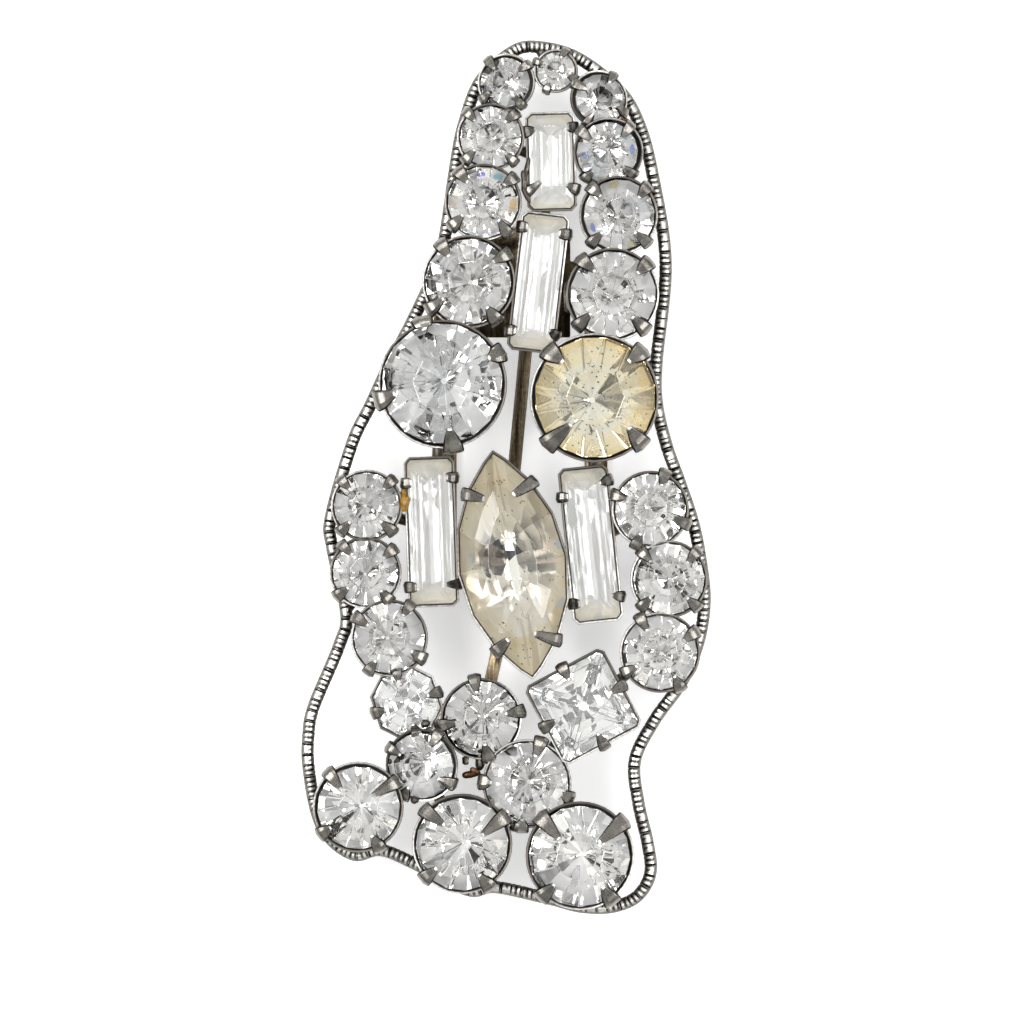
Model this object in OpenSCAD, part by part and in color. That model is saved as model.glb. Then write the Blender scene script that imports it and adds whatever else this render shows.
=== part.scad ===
// Dress clip: clear stones in claw cups, soldered together inside a milled wire border,
// with a one-piece spring clip behind. It lies on the clip's blade, stones up.

/* [Round stones] */
// Diameter of the smallest round stone, at the top
round_1_d = 3.6; // [3.2:0.1:4.2]
// Diameter of the two small stones beside it
round_2_d = 4.7; // [4.2:0.1:5]
// Diameter of the second stones of both side rows
round_3_d = 5.8; // [5.2:0.1:6.2]
// Diameter of the small stones at the lower left
round_4_d = 6.2; // [5.6:0.1:6.6]
// Diameter of the stones in the middle of the side rows
round_5_d = 6.7; // [6.2:0.1:7]
// Diameter of the two stones at the lower right and beside the spine
round_6_d = 7; // [6.4:0.1:7.4]
// Diameter of the stones at the lower left corner and above the bottom pair
round_7_d = 7.8; // [7.2:0.1:8.2]
// Diameter of the stones above the two largest
round_8_d = 8.1; // [7.6:0.1:8.4]
// Diameter of the left stone of the bottom pair
round_9_d = 8.7; // [8:0.1:9]
// Diameter of the right stone of the bottom pair
round_10_d = 9.5; // [8.8:0.1:10]
// Diameter of the two largest stones
round_11_d = 11.4; // [10.6:0.1:11.8]

/* [Other stones] */
// Width of the top baguette
top_baguette_w = 4.1; // [3.6:0.1:4.4]
// Length of the top baguette
top_baguette_l = 8.8; // [8:0.1:9.4]
// Width of the baguette below it
upper_baguette_w = 4; // [3.6:0.1:4.2]
// Length of the baguette below it
upper_baguette_l = 12.6; // [11.8:0.1:13]
// Width of the two baguettes beside the navette
side_baguette_w = 4.2; // [3.8:0.1:4.4]
// Length of the left one
left_baguette_l = 13.6; // [12.8:0.1:14]
// Length of the right one
right_baguette_l = 14.2; // [13.4:0.1:14.6]
// Side of the square stone
square_w = 7.8; // [7.2:0.1:8.2]
// Side of the small cushion stone
cushion_w = 5.7; // [5.2:0.1:6]
// Width of the navette
navette_w = 9.9; // [9.2:0.1:10.2]
// Length of the navette
navette_l = 21.1; // [20:0.1:21.8]

/* [Cut] */
// Height of a crown as a share of the stone's width
crown_share = 0.17; // [0.14:0.01:0.19]
// Depth of a pavilion as a share of the stone's width
pavilion_share = 0.42; // [0.38:0.01:0.45]
// Width of a round stone's table as a share of its diameter
table_share = 0.48; // [0.42:0.01:0.55]
// Thickness of a stone's edge
girdle_t = 0.3; // [0.2:0.05:0.4]
// Corner cut off a step-cut stone
corner_cut = 0.35; // [0.2:0.05:0.5]
// Corner cut off the cushion stone
cushion_cut = 1.4; // [1:0.1:1.6]

/* [Cups] */
// Clearance all round a stone in its cup
stone_clearance = 0.06; // [0.04:0.01:0.1]
// Wall of a cup at its rim
cup_wall = 0.28; // [0.22:0.02:0.36]
// Thickness of a cup's floor
cup_floor = 0.3; // [0.2:0.05:0.4]
// Width of a cup's floor as a share of its rim
cup_taper = 0.62; // [0.55:0.01:0.7]
// Width of the hole in a cup's floor as a share of the floor
cup_hole = 0.45; // [0.35:0.05:0.55]
// Thickness of a claw
claw_t = 0.4; // [0.3:0.05:0.5]
// How far a claw reaches in over a stone of the fitting width below
claw_reach = 1.05; // [0.8:0.05:1.2]
// Width of such a claw at its root
claw_root_w = 1.35; // [1.1:0.05:1.5]
// Width of such a claw at its tip
claw_tip_w = 0.5; // [0.4:0.05:0.6]
// Width of the round stone that these claws fit: wider stones have wider and longer claws
claw_fit_w = 7; // [6.4:0.2:7.6]

/* [Border and solder] */
// Thickness of the border wire
border_d = 1.25; // [1:0.05:1.4]
// Thickness of the solder joints
solder_d = 1.1; // [0.9:0.05:1.2]
// Widest gap between a stone and the border that solder bridges
solder_span = 1.2; // [0.9:0.1:1.4]

/* [Clip] */
// Clear height of the slot that takes the fabric
slot_h = 4.3; // [4.2:0.1:5]
// Thickness of the clip's sheet
sheet_t = 0.8; // [0.6:0.05:0.9]
// Width of the blade
blade_w = 16.6; // [15:0.2:18]
// Length of the blade from the bend's axis
blade_l = 31; // [28:0.5:33]
// Width of the bars that frame the blade
blade_bar_w = 2.2; // [1.8:0.1:2.6]
// Height of the lip at the blade's free end
lip_h = 1.2; // [0.8:0.1:1.6]
// Width of the leaf that carries the bend
leaf_w = 9.4; // [8:0.2:11]
// Length of the leaf from the bend's axis
leaf_l = 7.4; // [6.6:0.2:9]
// Thickness of the spine wire
spine_d = 1.25; // [1:0.05:1.3]
// Clearance between the clip and the backs of the cups
clip_clearance = 0.1; // [0.05:0.05:0.2]

/* [Hidden] */
// Columns of the table of stones
NAME = 0;
KIND = 1;
WIDTH = 2;
LENGTH = 3;
NEXT_TO = 4;
DIRECTION = 5;
GAP = 6;
TURN = 7;
LEAN = 8;
LEAN_TO = 9;

// Each stone is placed from a neighbour: the direction to it in degrees, the gap between their edges
// along that line, how far the stone or its claws are turned, and how far and which way it leans
STONES = [
    ["navette", "navette", navette_w, navette_l, "", 0, 0, 10, 0, 0],
    ["baguette_left", "step", side_baguette_w, left_baguette_l, "navette", 158, 0.5, 2, 0, 0],
    ["baguette_right", "step", side_baguette_w, right_baguette_l, "navette", 14.5, 0.5, 6, 0, 0],
    ["stone_right_5", "round", round_11_d, 0, "baguette_right", 88.4, 0.95, 45, 0, 0],
    ["stone_left_5", "round", round_11_d, 0, "baguette_left", 85.7, 1.4, 19, 0, 0],
    ["baguette_upper", "step", upper_baguette_w, upper_baguette_l, "stone_right_5", 116, 2.7, -6.5, 0, 0],
    ["baguette_top", "step", top_baguette_w, top_baguette_l, "baguette_upper", 84, 0.7, 1.5, 0, 0],
    ["stone_right_4", "round", round_8_d, 0, "stone_right_5", 80, 0.1, 42, 0, 0],
    ["stone_right_3", "round", round_5_d, 0, "stone_right_4", 85.5, 0.12, 45, 0, 0],
    ["stone_right_2", "round", round_3_d, 0, "stone_right_3", 101, -0.22, 50, 14, -80],
    ["stone_right_1", "round", round_2_d, 0, "stone_right_2", 97.5, -0.2, 60, 12, 30],
    ["stone_top", "round", round_1_d, 0, "stone_right_1", 147, 0.8, 65, 8, 120],
    ["stone_left_4", "round", round_8_d, 0, "stone_left_5", 75.7, 0.15, 36, 0, 0],
    ["stone_left_3", "round", round_5_d, 0, "stone_left_4", 79.5, 0.25, 38, 0, 0],
    ["stone_left_2", "round", round_3_d, 0, "stone_left_3", 83.5, -0.06, 43, 0, 0],
    ["stone_left_1", "round", round_2_d, 0, "stone_left_2", 75, 0.06, 37, 10, 165],
    ["stone_left_6", "round", round_4_d, 0, "baguette_left", 158, 1.15, 45, 0, 0],
    ["stone_left_7", "round", round_4_d, 0, "stone_left_6", -91, 0.1, 40, 0, 0],
    ["stone_left_8", "round", round_5_d, 0, "stone_left_7", -70, 0.1, 58, 0, 0],
    ["cushion", "cushion", cushion_w, cushion_w, "stone_left_8", -75, 0.1, 18, 0, 0],
    ["stone_left_9", "round", round_4_d, 0, "cushion", -77, 0.1, 60, 12, 215],
    ["stone_left_10", "round", round_7_d, 0, "stone_left_9", -146, 0.1, 38, 0, 0],
    ["stone_right_6", "round", round_5_d, 0, "baguette_right", 30.5, 0.85, 68, 0, 0],
    ["stone_right_7", "round", round_5_d, 0, "stone_right_6", -75, 0.1, 45, 0, 0],
    ["stone_right_8", "round", round_6_d, 0, "stone_right_7", -97, 0.1, 30, 0, 0],
    ["square", "square", square_w, square_w, "stone_right_8", -145, 1.4, 28, 0, 0],
    ["stone_low_1", "round", round_7_d, 0, "square", -126, 0.75, 72, 0, 0],
    ["stone_low_2", "round", round_6_d, 0, "stone_low_1", 125, 0.1, 10, 0, 0],
    ["stone_low_3", "round", round_9_d, 0, "stone_low_1", -137, 0.1, 40, 0, 0],
    ["stone_low_4", "round", round_10_d, 0, "stone_low_1", -54, -0.25, 40, 0, 0],
];

// The border's route: the stone that each point is measured from, the direction from its centre in
// degrees, and how far the wire's centre stands off the stone's edge
BORDER = [
    ["stone_top", 125, 1.1],
    ["stone_top", 36, 0.6],
    ["stone_right_1", 34, -0.3],
    ["stone_right_2", 44, 1.3],
    ["stone_right_2", -25, 1.9],
    ["stone_right_4", 31, 1.8],
    ["stone_right_5", 30.5, 1.1],
    ["stone_right_5", -4.5, 0.2],
    ["stone_right_5", -33, 2.4],
    ["stone_right_6", 43, 0.5],
    ["stone_right_6", -18.5, 1],
    ["stone_right_7", 27, 0.1],
    ["stone_right_7", -32.5, 0.7],
    ["stone_right_8", 14.5, 0.3],
    ["stone_right_8", -52, 0],
    ["square", -12, 1.8],
    ["square", -46.5, 3.1],
    ["stone_low_4", 41.5, 2.7],
    ["stone_low_4", 9, 1.8],
    ["stone_low_4", -15, 2.2],
    ["stone_low_4", -36, 2],
    ["stone_low_4", -58, 1.1],
    ["stone_low_4", -88, 0.2],
    ["stone_low_4", -124, 0.3],
    ["stone_low_3", -53, 0.9],
    ["stone_low_3", -82, 0.2],
    ["stone_low_3", -144, -0.1],
    ["stone_left_10", -62, 0.8],
    ["stone_left_10", -95.5, 0.7],
    ["stone_left_10", -134, 0.2],
    ["stone_left_10", -175.5, 0.2],
    ["stone_left_10", 141, 2.3],
    ["stone_left_10", 126, 4.3],
    ["cushion", -177, 5.9],
    ["stone_left_8", -171, 1.5],
    ["stone_left_7", -116, 1.2],
    ["stone_left_7", 143.5, 0.9],
    ["stone_left_6", -163, 0.5],
    ["stone_left_6", 103.5, 3],
    ["stone_left_5", -164, 1.4],
    ["stone_left_5", 160.5, -0.3],
    ["stone_left_5", 118.5, 0.7],
    ["stone_left_4", 164.5, -0.7],
    ["stone_left_4", 119.5, 0.6],
    ["stone_left_2", -145, 1.1],
    ["stone_left_2", 149.5, 0],
    ["stone_left_1", 172, 0],
    ["stone_left_1", 77, 0.8],
];

$fn = 32;

// Levels above the surface that the clip lies on
slot_top = sheet_t + slot_h;
spine_z = slot_top + spine_d / 2;
leaf_proud = 0.05;
clip_top = slot_top + spine_d + leaf_proud;
cup_base_z = clip_top + clip_clearance;
border_z = cup_base_z + border_d / 2;

// Sizes worked out for any stone
function crown_h(row) = crown_share * row[WIDTH];
function pavilion_h(row) = pavilion_share * row[WIDTH];
function cup_depth(row) = girdle_t / 2 + pavilion_h(row) + 2 * stone_clearance + cup_floor;
function rim_r(row) = row[WIDTH] / 2 + stone_clearance + cup_wall;
function girdle_z(row) = cup_base_z + cup_depth(row) + cup_taper * rim_r(row) * sin(row[LEAN]);

// Radius of the two circles whose overlap is a navette, and how far their centres stand off its axis
function arc_r(w, l) = (w * w + l * l) / (4 * w);
function arc_off(w, l) = arc_r(w, l) - w / 2;

// Distance from a stone's centre to its edge in one direction
function lens_reach(w, l, a) =
    sqrt(pow(arc_r(w, l), 2) - pow(arc_off(w, l) * sin(a), 2)) - arc_off(w, l) * abs(cos(a));
function box_reach(w, l, a) = min(w / 2 / max(abs(cos(a)), 0.001), l / 2 / max(abs(sin(a)), 0.001));
function reach(row, a) =
    row[KIND] == "round" ? row[WIDTH] / 2
    : row[KIND] == "navette" ? lens_reach(row[WIDTH], row[LENGTH], a - row[TURN])
    : box_reach(row[WIDTH], row[LENGTH], a - row[TURN]);

function index(name) = search([name], STONES, 1, NAME)[0];
function along(a, d) = [d * cos(a), d * sin(a)];
function step_to(row, from) = reach(from, row[DIRECTION]) + row[GAP] + reach(row, row[DIRECTION] + 180);
function place(i) =
    STONES[i][NEXT_TO] == "" ? [0, 0]
    : place(index(STONES[i][NEXT_TO]))
        + along(STONES[i][DIRECTION], step_to(STONES[i], STONES[index(STONES[i][NEXT_TO])]));
PLACES = [for (i = [0:len(STONES) - 1]) place(i)];
function spot(name) = PLACES[index(name)];

// The border's centre line: a closed curve through its points
function border_point(b) = spot(b[0]) + along(b[1], reach(STONES[index(b[0])], b[1]) + b[2]);
BORDER_POINTS = [for (b = BORDER) border_point(b)];
function curve(a, b, c, d, t) =
    ((2 * b) + (c - a) * t + (2 * a - 5 * b + 4 * c - d) * t * t + (3 * b - a - 3 * c + d) * t * t * t) / 2;
border_parts = 3;
function border_at(i, t) =
    let (n = len(BORDER_POINTS), p = [for (k = [-1:2]) BORDER_POINTS[(i + k + n) % n]])
    curve(p[0], p[1], p[2], p[3], t);
BORDER_PATH = [for (i = [0:len(BORDER) - 1], k = [0:border_parts - 1]) border_at(i, k / border_parts)];

// The middle of the whole outline, which goes over the origin
xs = [for (p = BORDER_PATH) p[0]];
ys = [for (p = BORDER_PATH) p[1]];
middle = [(min(xs) + max(xs)) / 2, (min(ys) + max(ys)) / 2];

// Clip places: the bend lies behind the upper baguette's top half, a little right of the navette
bend_share = 0.18;
clip_aside = 0.75;
bend_y = spot("baguette_upper")[1] + upper_baguette_l * bend_share;
clip_x = spot("navette")[0] + clip_aside;

// The spine wire's route from the leaf down behind the navette to the low stones: each point stands off
// the middle of a stone, or of two stones, by shares of the stone's length and by these distances
spine_top_share = 0.22;
spine_top_aside = 0.85;
spine_mid_share = 0.41;
spine_mid_aside = 1.55;
spine_low_off = [2.2, -1];
spine_low = (spot("stone_low_2") + spot("stone_left_9")) / 2 + spine_low_off;
SPINE = [
    concat(spot("baguette_upper") - [spine_top_aside, upper_baguette_l * spine_top_share], spine_z),
    concat(spot("navette") - [spine_mid_aside, navette_l * spine_mid_share], spine_z),
    concat(spine_low, spine_z),
];

// A tube along a route, with the same number of sides all the way
tube_sides = 8;
function unit(v) = v / norm(v);
function heading(path, i, closed) =
    let (n = len(path))
    closed ? unit(path[(i + 1) % n] - path[(i + n - 1) % n])
    : unit(path[min(i + 1, n - 1)] - path[max(i - 1, 0)]);
function ring_at(p, along, r) =
    let (side = unit(cross([0, 0, 1], along)))
    [for (k = [0:tube_sides - 1]) p + r * cos(360 * k / tube_sides) * side
        + r * sin(360 * k / tube_sides) * unit(cross(along, side))];

module tube(path, d, closed = false) {
    n = len(path);
    points = [for (i = [0:n - 1]) each ring_at(path[i], heading(path, i, closed), d / 2)];
    spans = closed ? n : n - 1;
    sides = [for (i = [0:spans - 1], k = [0:tube_sides - 1])
        let (j = (i + 1) % n, m = (k + 1) % tube_sides)
        [i * tube_sides + k, j * tube_sides + k, j * tube_sides + m, i * tube_sides + m]];
    ends = closed ? [] : [
        [for (k = [0:tube_sides - 1]) k],
        [for (k = [tube_sides - 1:-1:0]) (n - 1) * tube_sides + k]
    ];
    polyhedron(points, concat(sides, ends), convexity = 6);
}

// A solid through rings that all have the same number of points, from the lowest ring up
module lofted(rings) {
    n = len(rings[0]);
    last = len(rings) - 1;
    faces = [for (i = [0:last - 1], k = [0:n - 1])
        let (m = (k + 1) % n)
        each [[i * n + k, (i + 1) * n + k, (i + 1) * n + m], [i * n + k, (i + 1) * n + m, i * n + m]]];
    low = [for (k = [0:n - 1]) k];
    high = [for (k = [n - 1:-1:0]) last * n + k];
    polyhedron([for (r = rings) each r], concat(faces, [low, high]), convexity = 2);
}

// Round stone: a table with eight sides, eight broad and eight narrow crown facets and a pointed back
girdle_sides = 16;
table_sides = 8;
module round_stone(row) {
    r = row[WIDTH] / 2;
    table = [for (k = [0:table_sides - 1]) let (a = (k + 0.5) * 360 / table_sides)
        [table_share * r * cos(a), table_share * r * sin(a), girdle_t / 2 + crown_h(row)]];
    function edge(z) = [for (k = [0:girdle_sides - 1]) let (a = (k + 0.5) * 360 / girdle_sides)
        [r * cos(a), r * sin(a), z]];
    back = [[0, 0, -girdle_t / 2 - pavilion_h(row)]];
    top = table_sides;
    low = table_sides + girdle_sides;
    tip = low + girdle_sides;
    faces = concat(
        [[for (k = [table_sides - 1:-1:0]) k]],
        [for (k = [0:table_sides - 1]) [k, top + 2 * k + 1, top + 2 * k]],
        [for (k = [0:table_sides - 1]) let (m = (k + 1) % table_sides)
            [k, m, top + 2 * m, top + 2 * k + 1]],
        [for (k = [0:girdle_sides - 1]) let (m = (k + 1) % girdle_sides)
            [top + k, top + m, low + m, low + k]],
        [for (k = [0:girdle_sides - 1]) [low + k, low + (k + 1) % girdle_sides, tip]]
    );
    polyhedron(concat(table, edge(girdle_t / 2), edge(-girdle_t / 2), back), faces, convexity = 2);
}

// Step-cut stone: an outline with cut corners, drawn in towards the table and towards the keel
function cut_of(row) = row[KIND] == "cushion" ? cushion_cut : corner_cut;
function step_ring(w, l, cut, z) = [
    [w / 2, l / 2 - cut, z], [w / 2 - cut, l / 2, z], [cut - w / 2, l / 2, z], [-w / 2, l / 2 - cut, z],
    [-w / 2, cut - l / 2, z], [cut - w / 2, -l / 2, z], [w / 2 - cut, -l / 2, z], [w / 2, cut - l / 2, z]
];
function inset_ring(row, inset, z) =
    let (w = row[WIDTH] - 2 * inset, l = row[LENGTH] - 2 * inset)
    step_ring(w, l, min(cut_of(row), w * 0.3), z);
table_inset = 0.26;
step_inset = 0.14;
step_rise = 0.65;
step_drop = 0.45;
keel_inset = 0.44;
module step_stone(row) {
    w = row[WIDTH];
    g = girdle_t / 2;
    lofted([
        inset_ring(row, keel_inset * w, -g - pavilion_h(row)),
        inset_ring(row, step_inset * w, -g - pavilion_h(row) * step_drop),
        inset_ring(row, 0, -g),
        inset_ring(row, 0, g),
        inset_ring(row, step_inset * w, g + crown_h(row) * step_rise),
        inset_ring(row, table_inset * w, g + crown_h(row))
    ]);
}

// Navette stone: rings of the same pointed outline, drawn in towards the table and the keel, with the
// width, the length and the height of each inner ring as shares of the stone's own and of its crown's
NAVETTE_STEP = [0.72, 0.74, 0.66];
NAVETTE_TABLE = [0.46, 0.5, 1];
NAVETTE_KEEL = [0.1, 0.34];
lens_sides = 8;
function lens_ring(w, l, z) = [for (k = [0:2 * lens_sides - 1])
    let (right = k >= lens_sides, y = l / 2 * cos(180 * k / lens_sides))
    [(right ? -1 : 1) * (sqrt(pow(arc_r(w, l), 2) - y * y) - arc_off(w, l)), y, z]];
module navette_stone(row) {
    w = row[WIDTH];
    l = row[LENGTH];
    g = girdle_t / 2;
    lofted([
        lens_ring(w * NAVETTE_KEEL[0], l * NAVETTE_KEEL[1], -g - pavilion_h(row)),
        lens_ring(w, l, -g),
        lens_ring(w, l, g),
        for (s = [NAVETTE_STEP, NAVETTE_TABLE]) lens_ring(w * s[0], l * s[1], g + crown_h(row) * s[2])
    ]);
}

module cut_stone(row) {
    if (row[KIND] == "round") round_stone(row);
    else if (row[KIND] == "navette") navette_stone(row);
    else step_stone(row);
}

// Straight solid whose section across X is the polygon given, centred on the length
module bar(profile, length) {
    rotate([90, 0, 0])
        linear_extrude(length, center = true) polygon(profile);
}

// Solid that narrows evenly from its top at z_top to its foot at z_foot
module narrowing_box(w_top, l_top, w_foot, l_foot, z_foot, z_top) {
    intersection() {
        bar([[-w_top / 2, z_top], [-w_foot / 2, z_foot], [w_foot / 2, z_foot], [w_top / 2, z_top]],
            l_top + 1);
        rotate(90)
            bar([[-l_top / 2, z_top], [-l_foot / 2, z_foot], [l_foot / 2, z_foot], [l_top / 2, z_top]],
                w_top + 1);
    }
}

lens_fn = 96;
module narrowing_lens(w, l, grow_foot, grow_top, z_foot, z_top) {
    r = arc_r(w, l);
    intersection_for (s = [-1, 1])
        translate([s * arc_off(w, l), 0, z_foot])
            cylinder(z_top - z_foot, r + grow_foot, r + grow_top, $fn = lens_fn);
}

// Cups: a wall that narrows to a floor with a hole. A hollow is cut a little past its mouth
past = 0.01;
module round_cup(row) {
    depth = cup_depth(row);
    rim = rim_r(row);
    foot = cup_taper * rim;
    wall = cup_wall;
    rotate_extrude()
        polygon([[cup_hole * foot, -depth], [foot, -depth], [rim, 0], [rim - wall, 0],
            [foot - wall, cup_floor - depth], [cup_hole * foot, cup_floor - depth]]);
}

module step_cup(row) {
    depth = cup_depth(row);
    w = 2 * rim_r(row);
    l = w + row[LENGTH] - row[WIDTH];
    narrow = (1 - cup_taper) * w;
    wall = 2 * cup_wall;
    difference() {
        narrowing_box(w, l, w - narrow, l - narrow, -depth, 0);
        narrowing_box(w - wall, l - wall, w - narrow - wall, l - narrow - wall, cup_floor - depth, past);
        cube([cup_hole * (w - narrow), l - narrow - 2 * wall - 1, 3 * depth], center = true);
    }
}

module navette_cup(row) {
    depth = cup_depth(row);
    rim = stone_clearance + cup_wall;
    foot = rim - (1 - cup_taper) * row[WIDTH] / 2;
    difference() {
        narrowing_lens(row[WIDTH], row[LENGTH], foot, rim, -depth, 0);
        narrowing_lens(row[WIDTH], row[LENGTH], foot - cup_wall, stone_clearance, cup_floor - depth, past);
        cylinder(3 * depth, r = cup_hole * cup_taper * row[WIDTH] / 2, center = true);
    }
}

// A claw's section: out from the stone's centre and up, rooted in the cup's wall and bent in over the edge
claw_lift = 0.03;
claw_drop = 0.34;
claw_bulge = 0.12;
claw_run = 0.75;
claw_least = 0.25;
function claw_size(row) = row[KIND] == "round" ? claw_least + (1 - claw_least) * row[WIDTH] / claw_fit_w : 1;
function claw_section(row) =
    let (
        edge = row[WIDTH] / 2,
        run = (1 - (row[KIND] == "round" ? table_share : 1 - 2 * table_inset)) * edge,
        slope = crown_h(row) / run,
        depth = cup_depth(row),
        lean_in = (1 - cup_taper) * rim_r(row) / depth,
        drop = claw_drop * depth,
        outer = rim_r(row),
        under = stone_clearance + claw_lift,
        tip = min(claw_reach * claw_size(row), run * claw_run),
        top = girdle_t / 2 + under
    )
    [
        [outer - cup_wall * 0.5 - lean_in * drop, -drop],
        [outer - lean_in * drop + claw_bulge, -drop],
        [outer + claw_t * 0.75, -girdle_t / 2],
        [outer + claw_t * 0.5, top + claw_t * 0.4],
        [edge - tip * 0.35, top + slope * tip * 0.5 + claw_t],
        [edge - tip, top + slope * tip + claw_t * 0.55],
        [edge - tip, top + slope * tip],
        [edge + under, top],
        [edge + under, -girdle_t / 2]
    ];

// A claw's outline from above, pointing along X at the edge of its stone, with the tip's corners cut off
tip_cut = 0.2;
function claw_plan(row) =
    let (
        edge = row[WIDTH] / 2,
        far = edge + cup_wall + 2 * claw_t,
        reach = claw_reach * claw_size(row),
        root = claw_root_w * claw_size(row) / 2,
        tip = claw_tip_w * claw_size(row) / 2
    )
    [
        [far, root], [edge - reach * (1 - tip_cut), tip], [edge - reach, tip / 2],
        [edge - reach, -tip / 2], [edge - reach * (1 - tip_cut), -tip], [far, -root]
    ];

module round_claws(row) {
    intersection() {
        rotate_extrude() polygon(claw_section(row));
        linear_extrude(4 * cup_depth(row), center = true)
            for (k = [0:3]) rotate(90 * k) polygon(claw_plan(row));
    }
}

// One claw that stands at the point p of a straight or slightly curved side and points at it
module side_claw(row, p, facing) {
    edge = row[WIDTH] / 2;
    translate([p[0], p[1], 0])
        rotate(facing)
            translate([-edge, 0, 0])
                intersection() {
                    bar(claw_section(row), 2 * claw_root_w);
                    linear_extrude(4 * cup_depth(row), center = true) polygon(claw_plan(row));
                }
}

// Where the claws of a stone that isn't round stand, and the way out from the stone there
end_claw = 0.36;
lens_claw = 0.34;
function lens_x(w, l, y) = sqrt(pow(arc_r(w, l), 2) - y * y) - arc_off(w, l);
function side_claws(row) =
    let (w = row[WIDTH], l = row[LENGTH])
    row[KIND] == "step" ? [for (s = [-1, 1], t = [-1, 1]) [s * w / 2, t * l * end_claw, s > 0 ? 0 : 180]]
    : row[KIND] == "navette" ? [for (s = [-1, 1], t = [-1, 1])
        let (y = t * l * lens_claw, x = lens_x(w, l, y), a = asin(y / arc_r(w, l)))
        [s * x, y, s > 0 ? a : 180 - a]]
    : [for (k = [0:3]) [w / 2 * cos(90 * k), w / 2 * sin(90 * k), 90 * k]];

module cup(row) {
    if (row[KIND] == "round") {
        round_cup(row);
        round_claws(row);
    } else {
        if (row[KIND] == "navette") navette_cup(row);
        else step_cup(row);
        for (c = side_claws(row)) side_claw(row, c, c[2]);
    }
}

// The room that a stone needs, with its clearance
module pocket(row) {
    c = stone_clearance;
    w = row[WIDTH];
    l = row[LENGTH];
    g = girdle_t / 2;
    top = g + crown_h(row) + c;
    foot = -g - pavilion_h(row) - c;
    if (row[KIND] == "round")
        rotate_extrude()
            polygon([[0, foot], [w / 2 + c, -g - c], [w / 2 + c, g + c],
                [table_share * w / 2 + c, top], [0, top]]);
    else if (row[KIND] == "navette") {
        narrowing_lens(w, l, c, c, -g - c, g + c);
        narrowing_lens(w, l, c, c - table_inset * w, g + c, top);
    } else {
        inset = 2 * table_inset * w;
        cube([w + 2 * c, l + 2 * c, 2 * (g + c)], center = true);
        translate([0, 0, g + c + top])
            mirror([0, 0, 1])
                narrowing_box(w + 2 * c, l + 2 * c, w + 2 * c - inset, l + 2 * c - inset, g + c, top);
    }
}

// Puts a stone's own parts where the stone sits
module seated(row) {
    p = spot(row[NAME]) - middle;
    translate([p[0], p[1], girdle_z(row)])
        rotate(row[LEAN], [-sin(row[LEAN_TO]), cos(row[LEAN_TO]), 0])
            rotate(row[TURN])
                children();
}

// A bar of solder between two points at the border's height
module solder(a, b) {
    d = b - a;
    translate([a[0] - middle[0], a[1] - middle[1], border_z])
        rotate(atan2(d[1], d[0]))
            rotate([0, 90, 0])
                cylinder(norm(d), d = solder_d, $fn = 16);
}

// How far from a stone's centre its cup has the inside of its wall, at the solder's height, in one direction
function joint_root(row, a) =
    let (low = 1 - (border_z - cup_base_z) / cup_depth(row))
    reach(row, a) + stone_clearance - (1 - cup_taper) * rim_r(row) * low;

module stone_joints() {
    for (row = STONES)
        if (row[NEXT_TO] != "") {
            from = STONES[index(row[NEXT_TO])];
            a = row[DIRECTION];
            solder(
                spot(from[NAME]) + along(a, joint_root(from, a)),
                spot(row[NAME]) - along(a, joint_root(row, a + 180))
            );
        }
}

module border_joints() {
    for (b = BORDER)
        if (b[2] < solder_span) {
            row = STONES[index(b[0])];
            solder(spot(b[0]) + along(b[1], joint_root(row, b[1])), border_point(b));
        }
}

module border() {
    path = [for (p = BORDER_PATH) [p[0] - middle[0], p[1] - middle[1], border_z]];
    tube(path, border_d, closed = true);
}

module setting_frame() {
    color("#8d877f")
        difference() {
            union() {
                for (row = STONES) seated(row) cup(row);
                stone_joints();
                border_joints();
                border();
            }
            for (row = STONES) seated(row) pocket(row);
        }
}

// The clip's side profile: the blade, the bend and the leaf, as Y and Z
bend_r = clip_top / 2;
bend_parts = 12;
function bend_arc(r) =
    [for (k = [0:bend_parts]) let (a = 180 * k / bend_parts) [r * sin(a), bend_r + r * cos(a)]];
function backwards(list) = [for (i = [len(list) - 1:-1:0]) list[i]];
bend_profile = concat(
    [[-leaf_l, clip_top]], bend_arc(bend_r), [[-blade_bar_w, 0], [-blade_bar_w, sheet_t]],
    backwards(bend_arc(bend_r - sheet_t)), [[-leaf_l, clip_top - sheet_t]]
);

module blade() {
    inner_w = blade_w - 2 * blade_bar_w;
    difference() {
        translate([-blade_w / 2, -blade_l, 0]) cube([blade_w, blade_l, sheet_t]);
        translate([-inner_w / 2, blade_bar_w - blade_l, -sheet_t])
            cube([inner_w, blade_l - 2 * blade_bar_w, 3 * sheet_t]);
    }
    translate([-inner_w / 2, -blade_l, 0]) cube([inner_w, sheet_t, sheet_t + lip_h]);
}

module back_clip() {
    color("#8a6f45") {
        translate([clip_x - middle[0], bend_y - middle[1], 0]) {
            rotate([90, 0, 90])
                linear_extrude(leaf_w, center = true) polygon(bend_profile);
            blade();
        }
        tube([for (p = SPINE) p - [middle[0], middle[1], 0]], spine_d);
    }
}

module stone(row) {
    color(row[NAME] == "stone_right_5" || row[NAME] == "navette" ? "#d8c48e" : "#dfe3e4")
        seated(row) cut_stone(row);
}

setting_frame();
back_clip();
for (row = STONES)
    stone(row);
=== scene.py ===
"""Looks of the dress clip: cut stones over foil, claw cups, milled border wire, solder and the clip behind.

Lengths are in millimetres up to the point where a mesh is made, and metres from there on.
"""

import math
import random

import bmesh
import bpy
from mathutils import Matrix, Vector


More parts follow.
